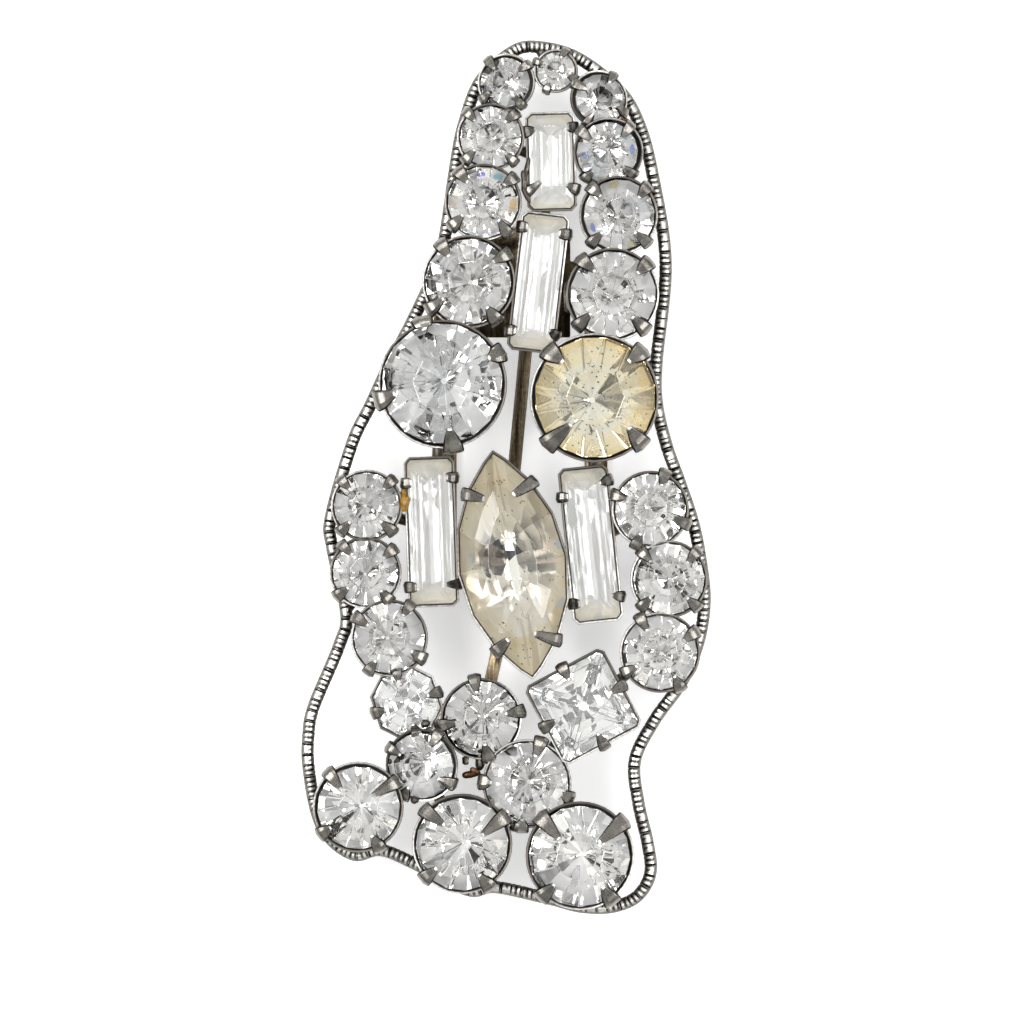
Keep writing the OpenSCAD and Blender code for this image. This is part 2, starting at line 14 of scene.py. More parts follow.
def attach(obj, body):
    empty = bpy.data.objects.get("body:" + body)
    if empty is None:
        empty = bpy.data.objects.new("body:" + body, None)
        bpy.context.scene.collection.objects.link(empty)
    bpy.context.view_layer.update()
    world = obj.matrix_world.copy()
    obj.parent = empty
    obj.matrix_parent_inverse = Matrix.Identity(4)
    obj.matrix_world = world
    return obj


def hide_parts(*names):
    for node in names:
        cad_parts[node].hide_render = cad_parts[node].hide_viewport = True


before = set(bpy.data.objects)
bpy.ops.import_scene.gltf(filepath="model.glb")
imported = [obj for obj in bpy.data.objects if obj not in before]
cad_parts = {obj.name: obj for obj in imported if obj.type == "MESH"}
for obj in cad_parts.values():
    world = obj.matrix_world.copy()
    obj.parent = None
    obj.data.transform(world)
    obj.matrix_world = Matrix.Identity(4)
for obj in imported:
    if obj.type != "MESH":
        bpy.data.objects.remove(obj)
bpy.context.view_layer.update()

MM = 0.001
UP = Vector((0, 0, 1))
METAL_NODES = ("setting_frame", "back_clip")
STONES = [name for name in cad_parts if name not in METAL_NODES]
YELLOWED = ("stone_right_5", "navette")

# Sizes of the stones and the metalwork, as in the solids. The insets and the rise are shares of a long
# stone's width and crown
GIRDLE = 0.3
STEP_INSET = 0.14
TABLE_INSET = 0.26
STEP_RISE = 0.65
CLEARANCE = 0.06
CUP_WALL = 0.28
CUP_FLOOR = 0.3
CUP_TAPER = 0.62
CUP_HOLE = 0.45
CLAW_FITS = 7
CLAW_LEAST = 0.25
BORDER_R = 0.625

# Round stones: the directions of their claws in degrees, then how wide the rim stands off and towards where
ROUND = {
    "stone_top": ((65, 155, 245, 335), 0, 0),
    "stone_left_1": ((37, 127, 217, 307), 0.12, 0),
    "stone_left_2": ((43, 133, 223, 313), 0, 0),
    "stone_left_3": ((38, 128, 218, 308), 0, 0),
    "stone_left_4": ((36, 126, 216, 306), 0.05, 20),
    "stone_left_5": ((28, 108, 195, 280), 0.06, 310),
    "stone_left_6": ((45, 135, 225, 315), 0, 0),
    "stone_left_7": ((40, 130, 220, 310), 0, 0),
    "stone_left_8": ((58, 148, 238, 328), 0, 0),
    "stone_left_9": ((60, 150, 240, 330), 0.08, 40),
    "stone_left_10": ((35, 130, 215, 298), 0.08, 110),
    "stone_right_1": ((60, 150, 240, 330), 0.12, 180),
    "stone_right_2": ((50, 140, 230, 320), 0.12, 10),
    "stone_right_3": ((45, 135, 225, 315), 0.07, 190),
    "stone_right_4": ((42, 132, 222, 312), 0.05, 170),
    "stone_right_5": ((45, 135, 225, 315), 0.07, 200),
    "stone_right_6": ((68, 158, 248, 338), 0, 0),
    "stone_right_7": ((45, 135, 225, 315), 0, 0),
    "stone_right_8": ((30, 120, 210, 300), 0, 0),
    "stone_low_1": ((72, 178, 262, 342), 0, 0),
    "stone_low_2": ((10, 100, 190, 280), 0.05, 260),
    "stone_low_3": ((33, 137, 222, 303), 0.07, 80),
    "stone_low_4": ((39, 135, 227, 306), 0.07, 60),
}

# How far in the claws of round stones reach where they aren't all alike
REACHES = {
    "stone_right_5": (1.1, 1.2, 2.3, 1.5),
    "stone_left_5": (0.7, 0.3, 1.2, 1.4),
    "stone_left_10": (2.2, 1.5, 0.7, 1.0),
    "stone_low_1": (1.2, 0.5, 0.5, 0.5),
    "stone_low_3": (2.3, 1.9, 1.1, 1.1),
    "stone_low_4": (2.5, 2.3, 1.2, 1.2),
}

# Claws at the sides of the long stones: side, place along it as a share of the length, how far in the claw
# reaches, its slant in degrees, and how blunt it is from 0 to 1
SIDE_CLAWS = {
    "baguette_top": (
        (-1, 0.33, 0.65, 10, 0), (1, 0.36, 0.4, 0, 1), (-1, -0.3, 1.3, 32, 0), (1, -0.29, 0.7, -28, 0)),
    "baguette_upper": (
        (-1, 0.4, 0.4, 0, 1), (1, 0.38, 0.55, 0, 1), (-1, -0.38, 0.4, 0, 1), (1, -0.37, 0.5, -20, 0)),
    "baguette_left": (
        (-1, 0.34, 0.3, 0, 1), (1, 0.37, 0.5, 0, 1), (-1, -0.38, 0.5, 0, 1), (1, -0.37, 0.9, 0, 0)),
    "baguette_right": (
        (-1, 0.33, 0.45, 0, 1), (1, 0.41, 0.65, 8, 0), (-1, -0.38, 0.45, 0, 1), (1, -0.36, 0.6, -15, 0)),
    "navette": (
        (-1, 0.34, 1.5, 10, 0.5), (1, 0.34, 1.9, -6, 0.5), (-1, -0.36, 1.3, 0, 0.4),
        (1, -0.36, 2.0, 12, 0.4)),
}

# The border's route: stone, direction from its centre in degrees, and the wire's stand-off from its edge
BORDER = [
    ("stone_top", 125, 1.1), ("stone_top", 36, 0.6), ("stone_right_1", 34, -0.3),
    ("stone_right_2", 44, 1.3), ("stone_right_2", -25, 1.9), ("stone_right_4", 31, 1.8),
    ("stone_right_5", 30.5, 1.1), ("stone_right_5", -4.5, 0.2), ("stone_right_5", -33, 2.4),
    ("stone_right_6", 43, 0.5), ("stone_right_6", -18.5, 1), ("stone_right_7", 27, 0.1),
    ("stone_right_7", -32.5, 0.7), ("stone_right_8", 14.5, 0.3), ("stone_right_8", -52, 0),
    ("square", -12, 1.8), ("square", -46.5, 3.1), ("stone_low_4", 41.5, 2.7),
    ("stone_low_4", 9, 1.8), ("stone_low_4", -15, 2.2), ("stone_low_4", -36, 2),
    ("stone_low_4", -58, 1.1), ("stone_low_4", -88, 0.2), ("stone_low_4", -124, 0.3),
    ("stone_low_3", -53, 0.9), ("stone_low_3", -82, 0.2), ("stone_low_3", -144, -0.1),
    ("stone_left_10", -62, 0.8), ("stone_left_10", -95.5, 0.7), ("stone_left_10", -134, 0.2),
    ("stone_left_10", -175.5, 0.2), ("stone_left_10", 141, 2.3), ("stone_left_10", 126, 4.3),
    ("cushion", -177, 5.9), ("stone_left_8", -171, 1.5), ("stone_left_7", -116, 1.2),
    ("stone_left_7", 143.5, 0.9), ("stone_left_6", -163, 0.5), ("stone_left_6", 103.5, 3),
    ("stone_left_5", -164, 1.4), ("stone_left_5", 160.5, -0.3), ("stone_left_5", 118.5, 0.7),
    ("stone_left_4", 164.5, -0.7), ("stone_left_4", 119.5, 0.6), ("stone_left_2", -145, 1.1),
    ("stone_left_2", 149.5, 0), ("stone_left_1", 172, 0), ("stone_left_1", 77, 0.8),
]
FRAME_LOW = min(v.co.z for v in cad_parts["setting_frame"].data.vertices) / MM
BORDER_LEVEL = FRAME_LOW + BORDER_R


def polar(degrees, length=1.0):
    a = math.radians(degrees)
    return Vector((length * math.cos(a), length * math.sin(a), 0))


def curve_point(a, b, c, d, t):
    """A point between b and c on the smooth curve through all four."""
    return (2 * b + (c - a) * t + (2 * a - 5 * b + 4 * c - d) * t**2 + (3 * b - a - 3 * c + d) * t**3) / 2


def smooth_line(points, steps):
    """A smooth open curve through the points."""
    ends = [points[0] * 2 - points[1], *points, points[-1] * 2 - points[-2]]
    line = []
    for i in range(1, len(ends) - 2):
        line += [curve_point(*ends[i - 1:i + 3], k / steps) for k in range(steps)]
    return line + [points[-1]]


def between(table, x):
    """A value from a table of pairs, in proportion between two rows."""
    for (a, low), (b, high) in zip(table, table[1:]):
        if x <= b:
            return low + (high - low) * max(0.0, x - a) / (b - a)
    return table[-1][1]


# How a solid is read: how close points are merged, how few degrees count as flat, how far up a table faces,
# how far out the edge lies, how level an edge along the stone is, how finely its outline is divided, and
# the least that is divided by
WELD = 0.002
FLAT = 0.8
TABLE_UP = 0.96
AT_EDGE = 0.98
LEVEL = 0.01
OUTLINE_POINTS = 40
OUTLINE_GAP = 1.1
SMALL = 0.001


class Seat:
    """Where one stone sits: its own axes, its outline at the edge and its heights, read from its solid."""

    def __init__(self, name):
        self.name = name
        self.round = name in ROUND
        self.claw_angles, self.rim_gap, self.rim_to = ROUND.get(name, ((), 0, 0))
        self.bm = bmesh.new()
        self.bm.from_mesh(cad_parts[name].data)
        bmesh.ops.scale(self.bm, vec=(1 / MM,) * 3, verts=self.bm.verts)
        bmesh.ops.remove_doubles(self.bm, verts=self.bm.verts, dist=WELD)
        bmesh.ops.dissolve_limit(
            self.bm, angle_limit=math.radians(FLAT), verts=self.bm.verts, edges=self.bm.edges)
        self.bm.normal_update()
        self.measure()

    def measure(self):
        """Finds the stone's place, axes, sizes and outline."""
        table = max((f for f in self.bm.faces if f.normal.z > TABLE_UP), key=lambda f: f.calc_area())
        axis = table.normal.copy()
        top = table.calc_center_median()
        points = [v.co - top for v in self.bm.verts]
        heights = [p.dot(axis) for p in points]
        flat = [p - axis * h for p, h in zip(points, heights)]
        widest = max(p.length for p in flat)
        at_edge = [h for p, h in zip(flat, heights) if p.length > AT_EDGE * widest]
        mid = sum(at_edge) / len(at_edge)
        self.centre = top + axis * mid
        self.axes = self.turned(axis, flat)
        to_local = self.axes.inverted()
        local = [to_local @ p for p in points]
        ring = [Vector((p.x, p.y, 0)) for p in local if 0 < p.z - mid < GIRDLE]
        self.width = 2 * (widest if self.round else max(abs(p.x) for p in ring))
        self.length = 2 * (widest if self.round else max(abs(p.y) for p in ring))
        self.crown = -mid - GIRDLE / 2
        self.depth = mid - min(heights) + 2 * CLEARANCE + CUP_FLOOR
        self.table_r = max((to_local @ (v.co - top)).length for v in table.verts)
        self.outline = self.edge_outline(ring)

    def turned(self, axis, flat):
        """The stone's own axes: Y along a long stone, Z out of its table."""
        if self.round:
            along = Vector((0, 1, 0))
        elif self.name == "navette":
            along = max((p for p in flat if p.y > 0), key=lambda p: p.length)
        else:
            level = [e for e in self.bm.edges if abs(e.verts[0].co.z - e.verts[1].co.z) < LEVEL]
            edge = max(level, key=lambda e: e.calc_length())
            along = edge.verts[0].co - edge.verts[1].co
            along *= 1 if along.y > 0 else -1
        along = (along - axis * along.dot(axis)).normalized()
        return Matrix((along.cross(axis), along, axis)).transposed()

    def edge_outline(self, ring):
        """Points round the stone's edge, anticlockwise, no more than about a millimetre apart."""
        if self.round:
            return [polar(360 * k / OUTLINE_POINTS, self.width / 2) for k in range(OUTLINE_POINTS)]
        ring = sorted(ring, key=lambda p: math.atan2(p.y, p.x))
        points = []
        for i, p in enumerate(ring):
            to = ring[(i + 1) % len(ring)]
            parts = max(1, round((to - p).length / OUTLINE_GAP))
            points += [p.lerp(to, k / parts) for k in range(parts)]
        return points

    def at(self, p):
        """A local point in the part's frame."""
        return self.centre + self.axes @ Vector(p)

    def side_arc(self):
        """Radius of the navette's curved sides."""
        return (self.width**2 + self.length**2) / (4 * self.width)

    def side_at(self, y):
        """How far the side is from the long axis at a place along it, and its slant there in degrees."""
        if self.name != "navette":
            return self.width / 2, 0
        arc = self.side_arc()
        return math.sqrt(arc**2 - y * y) - (arc - self.width / 2), math.degrees(math.asin(y / arc))

    def reach(self, degrees):
        """Distance from the centre to the stone's edge, in one direction of the part's frame."""
        if self.round:
            return self.width / 2
        way = self.axes.inverted() @ polar(degrees)
        angle = math.atan2(way.y, way.x)
        if self.name == "navette":
            arc = self.side_arc()
            off = arc - self.width / 2
            return math.sqrt(arc**2 - (off * math.sin(angle))**2) - off * abs(math.cos(angle))
        return min(self.width / 2 / max(abs(math.cos(angle)), SMALL),
                   self.length / 2 / max(abs(math.sin(angle)), SMALL))

    def crown_at(self, inward):
        """Height of the crown above the middle of the edge, at a distance in from the edge."""
        if self.round:
            run = self.width / 2 - self.table_r
            return GIRDLE / 2 + self.crown * min(inward / run, 1)
        step, table = STEP_INSET * self.width, TABLE_INSET * self.width
        if inward < step:
            return GIRDLE / 2 + STEP_RISE * self.crown * inward / step
        rest = (1 - STEP_RISE) * (inward - step) / (table - step)
        return GIRDLE / 2 + self.crown * min(STEP_RISE + rest, 1)


def placed(name, mesh, materials, node):
    """Makes an object of a mesh that rides on the part and, where a node is given, stands for it."""
    for material in materials:
        mesh.materials.append(material)
    obj = bpy.data.objects.new(name, mesh)
    bpy.context.scene.collection.objects.link(obj)
    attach(obj, "root")
    if node:
        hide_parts(node)


def smoothed(name, mesh, material, node, sharp):
    """Makes an object with smooth faces and with edges where they meet at more than an angle in degrees."""
    bm = bmesh.new()
    bm.from_mesh(mesh)
    bmesh.ops.recalc_face_normals(bm, faces=bm.faces)
    bm.to_mesh(mesh)
    bm.free()
    mesh.shade_smooth()
    mesh.set_sharp_from_angle(angle=math.radians(sharp))
    placed(name, mesh, [material], node)


def add_dirt_and_painted_light(mesh, values):
    """Gives each point of a mesh its dirt and painted light: above nought darker, for dirt and painted
    shade, below nought a painted highlight.
    """
    mesh.attributes.new("dirt_and_painted_light", "FLOAT", "POINT").data.foreach_set("value", values)


class Skin:
    """Collects rings of points into one mesh, with a value at each point for its dirt and painted light."""

    def __init__(self):
        self.points = []
        self.faces = []
        self.dirt_and_painted_light = []
        self.creases = set()

    def add(self, rings, dirt_and_painted_light, loop=False, creases=()):
        """Joins rings that have the same number of points. Its dirt and painted light has a value for each
        ring or point.
        """
        start, n, m = len(self.points), len(rings), len(rings[0])
        for ring, darkening in zip(rings, dirt_and_painted_light):
            self.points += ring
            self.dirt_and_painted_light += darkening if isinstance(darkening, list) else [darkening] * m
        for i in range(n if loop else n - 1):
            a, b = start + i * m, start + (i + 1) % n * m
            self.faces += [(a + k, a + (k + 1) % m, b + (k + 1) % m, b + k) for k in range(m)]
            self.creases |= {(a + k, b + k) for k in creases}
        if not loop:
            self.faces.append(tuple(start + k for k in reversed(range(m))))
            self.faces.append(tuple(start + (n - 1) * m + k for k in range(m)))

    def piece(self, name, material, slot, node=None, sharp=40):
        mesh = bpy.data.meshes.new(name)
        mesh.from_pydata([p * MM for p in self.points], [], self.faces)
        add_dirt_and_painted_light(mesh, self.dirt_and_painted_light)
        smoothed(name, mesh, material, node, sharp)
        for edge in mesh.edges:
            if tuple(sorted(edge.vertices)) in self.creases:
                edge.use_edge_sharp = True


# Materials. Named pairs are the ends of a range of noise, or of the meshes' dirt and painted light, over
# which something sets in

class Paint:
    """A material's nodes, added one at a time."""

    def __init__(self, name):
        self.material = bpy.data.materials.new(name)
        self.material.use_nodes = True
        self.tree = self.material.node_tree
        self.shader = self.tree.nodes["Principled BSDF"]
        self.place = self.tree.nodes.new("ShaderNodeTexCoord").outputs["Object"]

    def node(self, kind, **values):
        made = self.tree.nodes.new("ShaderNode" + kind)
        for key, value in values.items():
            if key in ("operation", "attribute_name"):
                setattr(made, key, value)
            else:
                self.feed(made.inputs[key.title()], value)
        return made

    def feed(self, socket, value):
        if isinstance(value, bpy.types.NodeSocket):
            self.tree.links.new(value, socket)
        else:
            socket.default_value = value

    def set(self, **values):
        """Sets or links the shader's own sockets."""
        for key, value in values.items():
            if isinstance(value, tuple) and len(value) == 3:
                value = (*value, 1)
            self.feed(self.shader.inputs[key.replace("_", " ").title().replace("Ior", "IOR")], value)

    def attribute(self, name):
        """A measure that the mesh has at its points or faces."""
        return self.node("Attribute", attribute_name=name).outputs["Fac"]

    def stretched(self, scale):
        """Object coordinates stretched by three factors."""
        return self.node("Mapping", vector=self.place, scale=scale).outputs[0]

    def noise(self, size, detail=3, where=None):
        """Noise from 0 to 1 whose lumps are about size millimetres across."""
        made = self.node("TexNoise", vector=where or self.place, scale=1 / (size * MM), detail=detail)
        return made.outputs["Fac"]

    def cells(self, size, output="Distance"):
        """Distance to the nearest of scattered points about size millimetres apart, or its own Color."""
        return self.node("TexVoronoi", vector=self.place, scale=1 / (size * MM)).outputs[output]

    def steps(self, value, low, high, to_low=0.0, to_high=1.0):
        """Maps a value from one range to another, held at the ends."""
        made = self.tree.nodes.new("ShaderNodeMapRange")
        for socket, number in zip(made.inputs[:5], (value, low, high, to_low, to_high)):
            self.feed(socket, number)
        return made.outputs[0]

    def mix(self, share, a, b):
        """A colour between a and b."""
        made = self.tree.nodes.new("ShaderNodeMix")
        made.data_type = "RGBA"
        self.feed(made.inputs["Factor"], share)
        for socket, colour in ((made.inputs[6], a), (made.inputs[7], b)):
            self.feed(socket, (*colour, 1) if isinstance(colour, tuple) else colour)
        return made.outputs[2]

    def combine(self, kind, operation, *values):
        """A Math or VectorMath node of some values."""
        made = self.node(kind, operation=operation)
        for socket, value in zip(made.inputs, values):
            self.feed(socket, value)
        return made.outputs[0]

    def highest(self, a, b):
        return self.combine("Math", "MAXIMUM", a, b)

    def away(self, centre, near, far, along=(1, 1)):
        """0 near a place and 1 far from it, as seen from above, with how much each direction counts."""
        shift = tuple(-c * k * MM for c, k in zip(centre, (*along, 0)))
        place = self.node("Mapping", vector=self.place, location=shift, scale=(*along, 0)).outputs[0]
        distance = self.node("VectorMath", operation="LENGTH", vector=place).outputs["Value"]
        return self.steps(distance, near * MM, far * MM)

    def bump(self, height, depth, shard=0.0, tilt=0.0):
        """Relief of a depth in millimetres, and flat shards of a size that each lean some way at random."""
        normal = self.node("Bump", height=height, distance=depth * MM).outputs[0]
        if tilt:
            cell = self.cells(shard, "Color")
            lean = self.combine("VectorMath", "MULTIPLY_ADD", cell, (2 * tilt,) * 3, (-tilt,) * 3)
            leaning = self.combine("VectorMath", "ADD", lean, normal)
            normal = self.combine("VectorMath", "NORMALIZE", leaning)
        self.feed(self.shader.inputs["Normal"], normal)


# The near-black of dirt and of painted shade, the range over which it sets in, the range over which painted
# highlights set in, and the hollow corners that get painted shade
DIRT_AND_SHADE = (0.022, 0.017, 0.012)
DARKENED = (0.45, 1.0)
HIGHLIGHTED = (0.0, -0.3)
SHADED_CORNERS = (0.47, 0.42)
BLOTCHY = (0.35, 0.68)
BLOTCH = 0.45
PALER = 1.5
# Where painted highlight streaks set in
STREAK_HIGHLIGHTS = (0.42, 0.62)
METAL_GRAIN = 0.012


def shaded_metal(name, dull, highlight, highlight_streaks=False, rough=(0.28, 0.48), metallic=1.0):
    """Tarnished metal, dull on the flats with paler blotches at random. Painted highlights lie where the
    mesh's values fall below nought and, if asked, in streaks along it; near-black dirt and painted shade
    where they rise, and painted shade in hollow corners.
    """
    p = Paint(name)
    fine = p.noise(0.15, 5)
    colour = p.mix(p.steps(p.noise(1.1), *BLOTCHY, 0, BLOTCH), dull, tuple(PALER * c for c in dull))
    if highlight_streaks:
        # Painted highlight streaks along the metal
        streaking = p.noise(0.3, 3, p.stretched((1, 0.04, 1)))
        colour = p.mix(p.steps(streaking, *STREAK_HIGHLIGHTS), colour, highlight)
    # Painted shade in hollow corners; below nought the mesh's values give painted highlights, above it dirt
    # and painted shade
    point = p.node("NewGeometry").outputs["Pointiness"]
    dirt_and_painted_light = p.combine("Math", "MULTIPLY_ADD", p.noise(0.3), 0.5, p.attribute("dirt_and_painted_light"))
    colour = p.mix(p.steps(dirt_and_painted_light, *HIGHLIGHTED), colour, highlight)
    darkened = p.highest(p.steps(dirt_and_painted_light, *DARKENED), p.steps(point, *SHADED_CORNERS))
    p.set(base_color=p.mix(darkened, colour, DIRT_AND_SHADE), metallic=metallic)
    p.set(roughness=p.steps(fine, 0.3, 0.7, *rough))
    p.bump(fine, METAL_GRAIN)
    return p.material


def cut_glass(name, tint, ior=1.55):
    """Clear cut glass with faint rubbing on its facets."""
    p = Paint(name)
    p.set(base_color=tint, transmission_weight=1.0, ior=ior)
    p.set(roughness=p.steps(p.noise(0.5, 4), 0.55, 0.8, 0.0, 0.04))
    p.bump(p.noise(2.5, 1), 0.0015)
    return p.material


def amber_glue():
    """A drop of old brown-yellow glue."""
    p = Paint("amber_glue")
    p.set(base_color=p.mix(p.steps(p.noise(0.6), 0.35, 0.65), (0.16, 0.07, 0.01), (0.5, 0.28, 0.02)))
    p.set(transmission_weight=0.2, roughness=0.25)
    p.bump(p.noise(0.4), 0.03)
    return p.material


def edge_of_facets():
    """The rubbed edges between facets, which catch the light."""
    p = Paint("rubbed_edge")
    p.set(base_color=(0.95, 0.95, 0.94), transmission_weight=0.85, ior=1.55)
    p.set(roughness=p.steps(p.noise(0.3), 0.3, 0.7, 0.1, 0.3))
    return p.material


white_metal = shaded_metal("white_metal", (0.15, 0.135, 0.118), (0.85, 0.83, 0.79), rough=(0.28, 0.42))
claw_metal = shaded_metal(
    "claw_metal", (0.235, 0.22, 0.2), (0.9, 0.88, 0.86), rough=(0.24, 0.36), metallic=0.95)
border_metal = shaded_metal("border_metal", (0.15, 0.14, 0.125), (0.85, 0.83, 0.8))
solder_metal = shaded_metal("solder_metal", (0.1, 0.088, 0.075), (0.45, 0.42, 0.37), metallic=0.9)
copper = shaded_metal("copper", (0.13, 0.065, 0.035), (0.32, 0.2, 0.13))
# The brass spine has painted highlight streaks along it
brass = shaded_metal("brass", (0.16, 0.12, 0.07), (0.52, 0.41, 0.25), highlight_streaks=True, metallic=0.9)
clear_glass = cut_glass("clear_glass", (0.987, 0.981, 0.977))
soft_glass = cut_glass("step_cut_glass", (0.99, 0.987, 0.98), 1.4)
yellow_glass = cut_glass("yellowed_glass", (0.98, 0.965, 0.91), 1.5)
rubbed_edge = edge_of_facets()

# Painted fire and painted highlights in the stones, as patches in the foil: place from the stone's centre,
# size and colour
BLUE, VIOLET, CYAN = (0.3, 0.42, 0.95), (0.35, 0.32, 0.92), (0.5, 0.88, 0.98)
GOLD, LEMON, HONEY = (0.98, 0.72, 0.36), (0.93, 0.87, 0.45), (1.0, 0.87, 0.62)
SKY, WHITE = (0.75, 0.85, 0.98), (1.0, 0.99, 0.96)
FIRE = {
    "stone_left_3": ((-0.1, 2.3, 0.4, VIOLET), (1.2, 2.1, 0.8, CYAN), (2.5, -0.2, 0.7, GOLD)),
    "stone_right_2": ((1.3, 1.5, 0.6, CYAN), (2.1, 0.3, 0.6, BLUE)),
    "stone_right_3": ((-0.5, 2.6, 0.8, LEMON), (-2.2, -1.0, 0.5, BLUE)),
    "stone_right_5": ((-3.5, 2.0, 0.9, HONEY), (4.1, 1.3, 0.9, HONEY)),
    "navette": (
        (4.3, 2.1, 0.9, SKY), (-3.3, 0.4, 0.8, SKY), (4.1, -3.5, 0.8, SKY), (0.9, -4.6, 3.2, WHITE)),
}

# Where a foil is stained, and what some of its shards turn to by the random number that each has: painted
# grey shade, painted white highlights and painted dark slate reflections
STAINED = (0.5, 0.75)
SHARD_SHADE, SHARD_HIGHLIGHT = (0.76, 0.755, 0.75), (1.0, 1.0, 1.0)
GREY_SHARDS, WHITE_SHARDS, SLATE_SHARDS = (0.3, 0.29), (0.66, 0.67), (0.72, 0.74)
SLATE = (0.1, 0.11, 0.125)
SLATE_REACH = (0.35, 0.3)
PIT = (0.05, 0.04, 0.03)
PIT_SPACING = 0.75


class Foil(Paint):
    """The foil behind one stone, painted in layers from its stained silver to its finish, with painted
    reflections and highlights over the stains.
    """

    def __init__(self, seat, silver, stain=(0.74, 0.72, 0.69), shine=1.0, shard=1.4, streaking=(1, 1, 1)):
        super().__init__(seat.name + "_foil")
        self.seat = seat
        self.shine = shine
        self.shard = shard
        # Each facet's painted light: below nought a painted white highlight, above it a painted dark
        # reflection
        self.facet_light = self.attribute("facet_light")
        stained = self.steps(self.noise(1.6, 4, self.stretched(streaking)), *STAINED)
        self.colour = self.mix(stained, silver, stain)

    def light_shards(self, shine):
        """Paints some shards grey as painted shade and some white as painted highlights, and gives the
        white ones and the facets painted white a shine of their own.
        """
        cell = self.cells(self.shard, "Color")
        self.colour = self.mix(self.steps(cell, *GREY_SHARDS), self.colour, SHARD_SHADE)
        white = self.highest(self.steps(self.facet_light, 0, -1), self.steps(cell, *WHITE_SHARDS))
        self.colour = self.mix(white, self.colour, SHARD_HIGHLIGHT)
        self.shine = self.steps(white, 0, 1, self.shine, shine)

    def heart(self, colour, near, far, aside=(0, 0, 0), along=(1, 1)):
        """Gives the stone's heart a colour, and returns how far each place is from it."""
        away = self.away(self.seat.centre + Vector(aside), near, far, along)
        self.colour = self.mix(away, colour, self.colour)
        return away

    def mirror_at(self, away):
        """Makes the heart a full mirror again."""
        self.shine = self.highest(self.shine, self.steps(away, 1, 0))

    def rim(self, colour, near, far):
        self.colour = self.mix(self.away(self.seat.centre, near, far), self.colour, colour)

    def slate(self, away):
        """Paints a few shards near the heart slate grey, as painted dark reflections."""
        chance = self.steps(self.cells(self.shard, "Color"), *SLATE_SHARDS)
        chosen = self.combine("Math", "MINIMUM", chance, self.steps(away, *SLATE_REACH))
        self.colour = self.mix(chosen, self.colour, SLATE)

    def fire(self):
        """Paints the stone's fire and highlights as small patches of colour, whose edges wave a little."""
        wavy = self.steps(self.noise(1.2, 2), 0.3, 0.7, -0.4, 0.4)
        for x, y, wide, colour in FIRE[self.seat.name]:
            away = self.away(self.seat.centre + Vector((x, y, 0)), wide * 0.4, wide)
            edge = self.steps(self.combine("Math", "ADD", away, wavy), 0.3, 0.42)
            self.colour = self.mix(edge, colour, self.colour)

    def pits(self, size):
        """Adds small dark pits."""
        self.colour = self.mix(self.steps(self.cells(PIT_SPACING), size, size * 0.6), self.colour, PIT)

    def finish(self, dark=(0.45, 0.45, 0.46), rough=0.02, tilt=0.0):
        """Darkens the facets of painted dark reflections, adds the shine and the lean of the shards, and
        gives the material.
        """
        self.set(base_color=self.mix(self.steps(self.facet_light, 0, 1), self.colour, dark))
        self.set(metallic=self.shine)
        self.set(roughness=self.steps(self.noise(0.4, 3), 0.4, 0.75, rough, rough + 0.05))
        self.bump(self.noise(2.2, 1), 0.004, self.shard, tilt)
        return self.material


def navette_foil(seat):
    """Yellowed and pitted, with a pale heart and slate-grey shards round it as painted dark reflections,
    and patches of painted fire and highlights.
    """
    foil = Foil(seat, (0.98, 0.92, 0.76), (0.95, 0.79, 0.52), shard=2.4)
    away = foil.heart((0.97, 0.97, 0.94), 2.6, 7.5, along=(1.5, 1))
    foil.shine = foil.steps(away, 0, 1, 0.75, 0.1)
    foil.slate(away)
    foil.fire()
    foil.pits(0.15)
    return foil.finish((0.42, 0.34, 0.26), rough=0.1, tilt=0.16)


def yellowed_foil(seat):
    """Yellowed and pitted, more so towards the edge, with a painted greyer reflection in its heart, painted
    dark reflections on its facets and patches of painted highlights.
    """
    foil = Foil(seat, (0.985, 0.935, 0.8), (0.94, 0.83, 0.6))
    away = foil.heart((0.89, 0.88, 0.83), 2.2, 2.9)
    foil.shine = foil.steps(away, 0, 1, 0.92, 0.75)
    foil.rim((0.95, 0.78, 0.46), 4.4, 6.2)
    foil.fire()
    foil.pits(0.16)
    return foil.finish((0.7, 0.65, 0.53))


def baguette_foil(seat):
    """Streaked along its length, with cream ends, and duller in the two baguettes at the sides."""
    dull = seat.name in ("baguette_left", "baguette_right")
    worn = (0.66, 0.65, 0.62) if dull else (0.93, 0.93, 0.92)
    clear = (0.93, 0.93, 0.925) if dull else (0.985, 0.985, 0.98)
    foil = Foil(seat, (0.98, 0.93, 0.8), worn, shard=2.2, streaking=(1, 0.12, 1))
    away = foil.heart(clear, 0.36 * seat.length, 0.44 * seat.length, along=(0.1, 1))
    foil.shine = foil.steps(away, 0, 1, 0.28, 0.05)
    return foil.finish(tilt=0.015)


def square_foil(seat):
    """Clear and bright all over."""
    return Foil(seat, (0.985, 0.985, 0.98), (0.93, 0.93, 0.92), shine=0.75, shard=2.2).finish(tilt=0.05)


def large_foil(seat):
    """The foil of the largest clear stone, with painted shade and highlights on its shards and facets, and
    its heart, a painted grey reflection, to one side.
    """
    foil = Foil(seat, (0.96, 0.955, 0.945), shard=2.2)
    foil.light_shards(0.2)
    foil.mirror_at(foil.heart((0.74, 0.745, 0.75), 2.6, 2.9, aside=(-1.2, 1.4, 0)))
    return foil.finish((0.42, 0.42, 0.43), tilt=0.075)


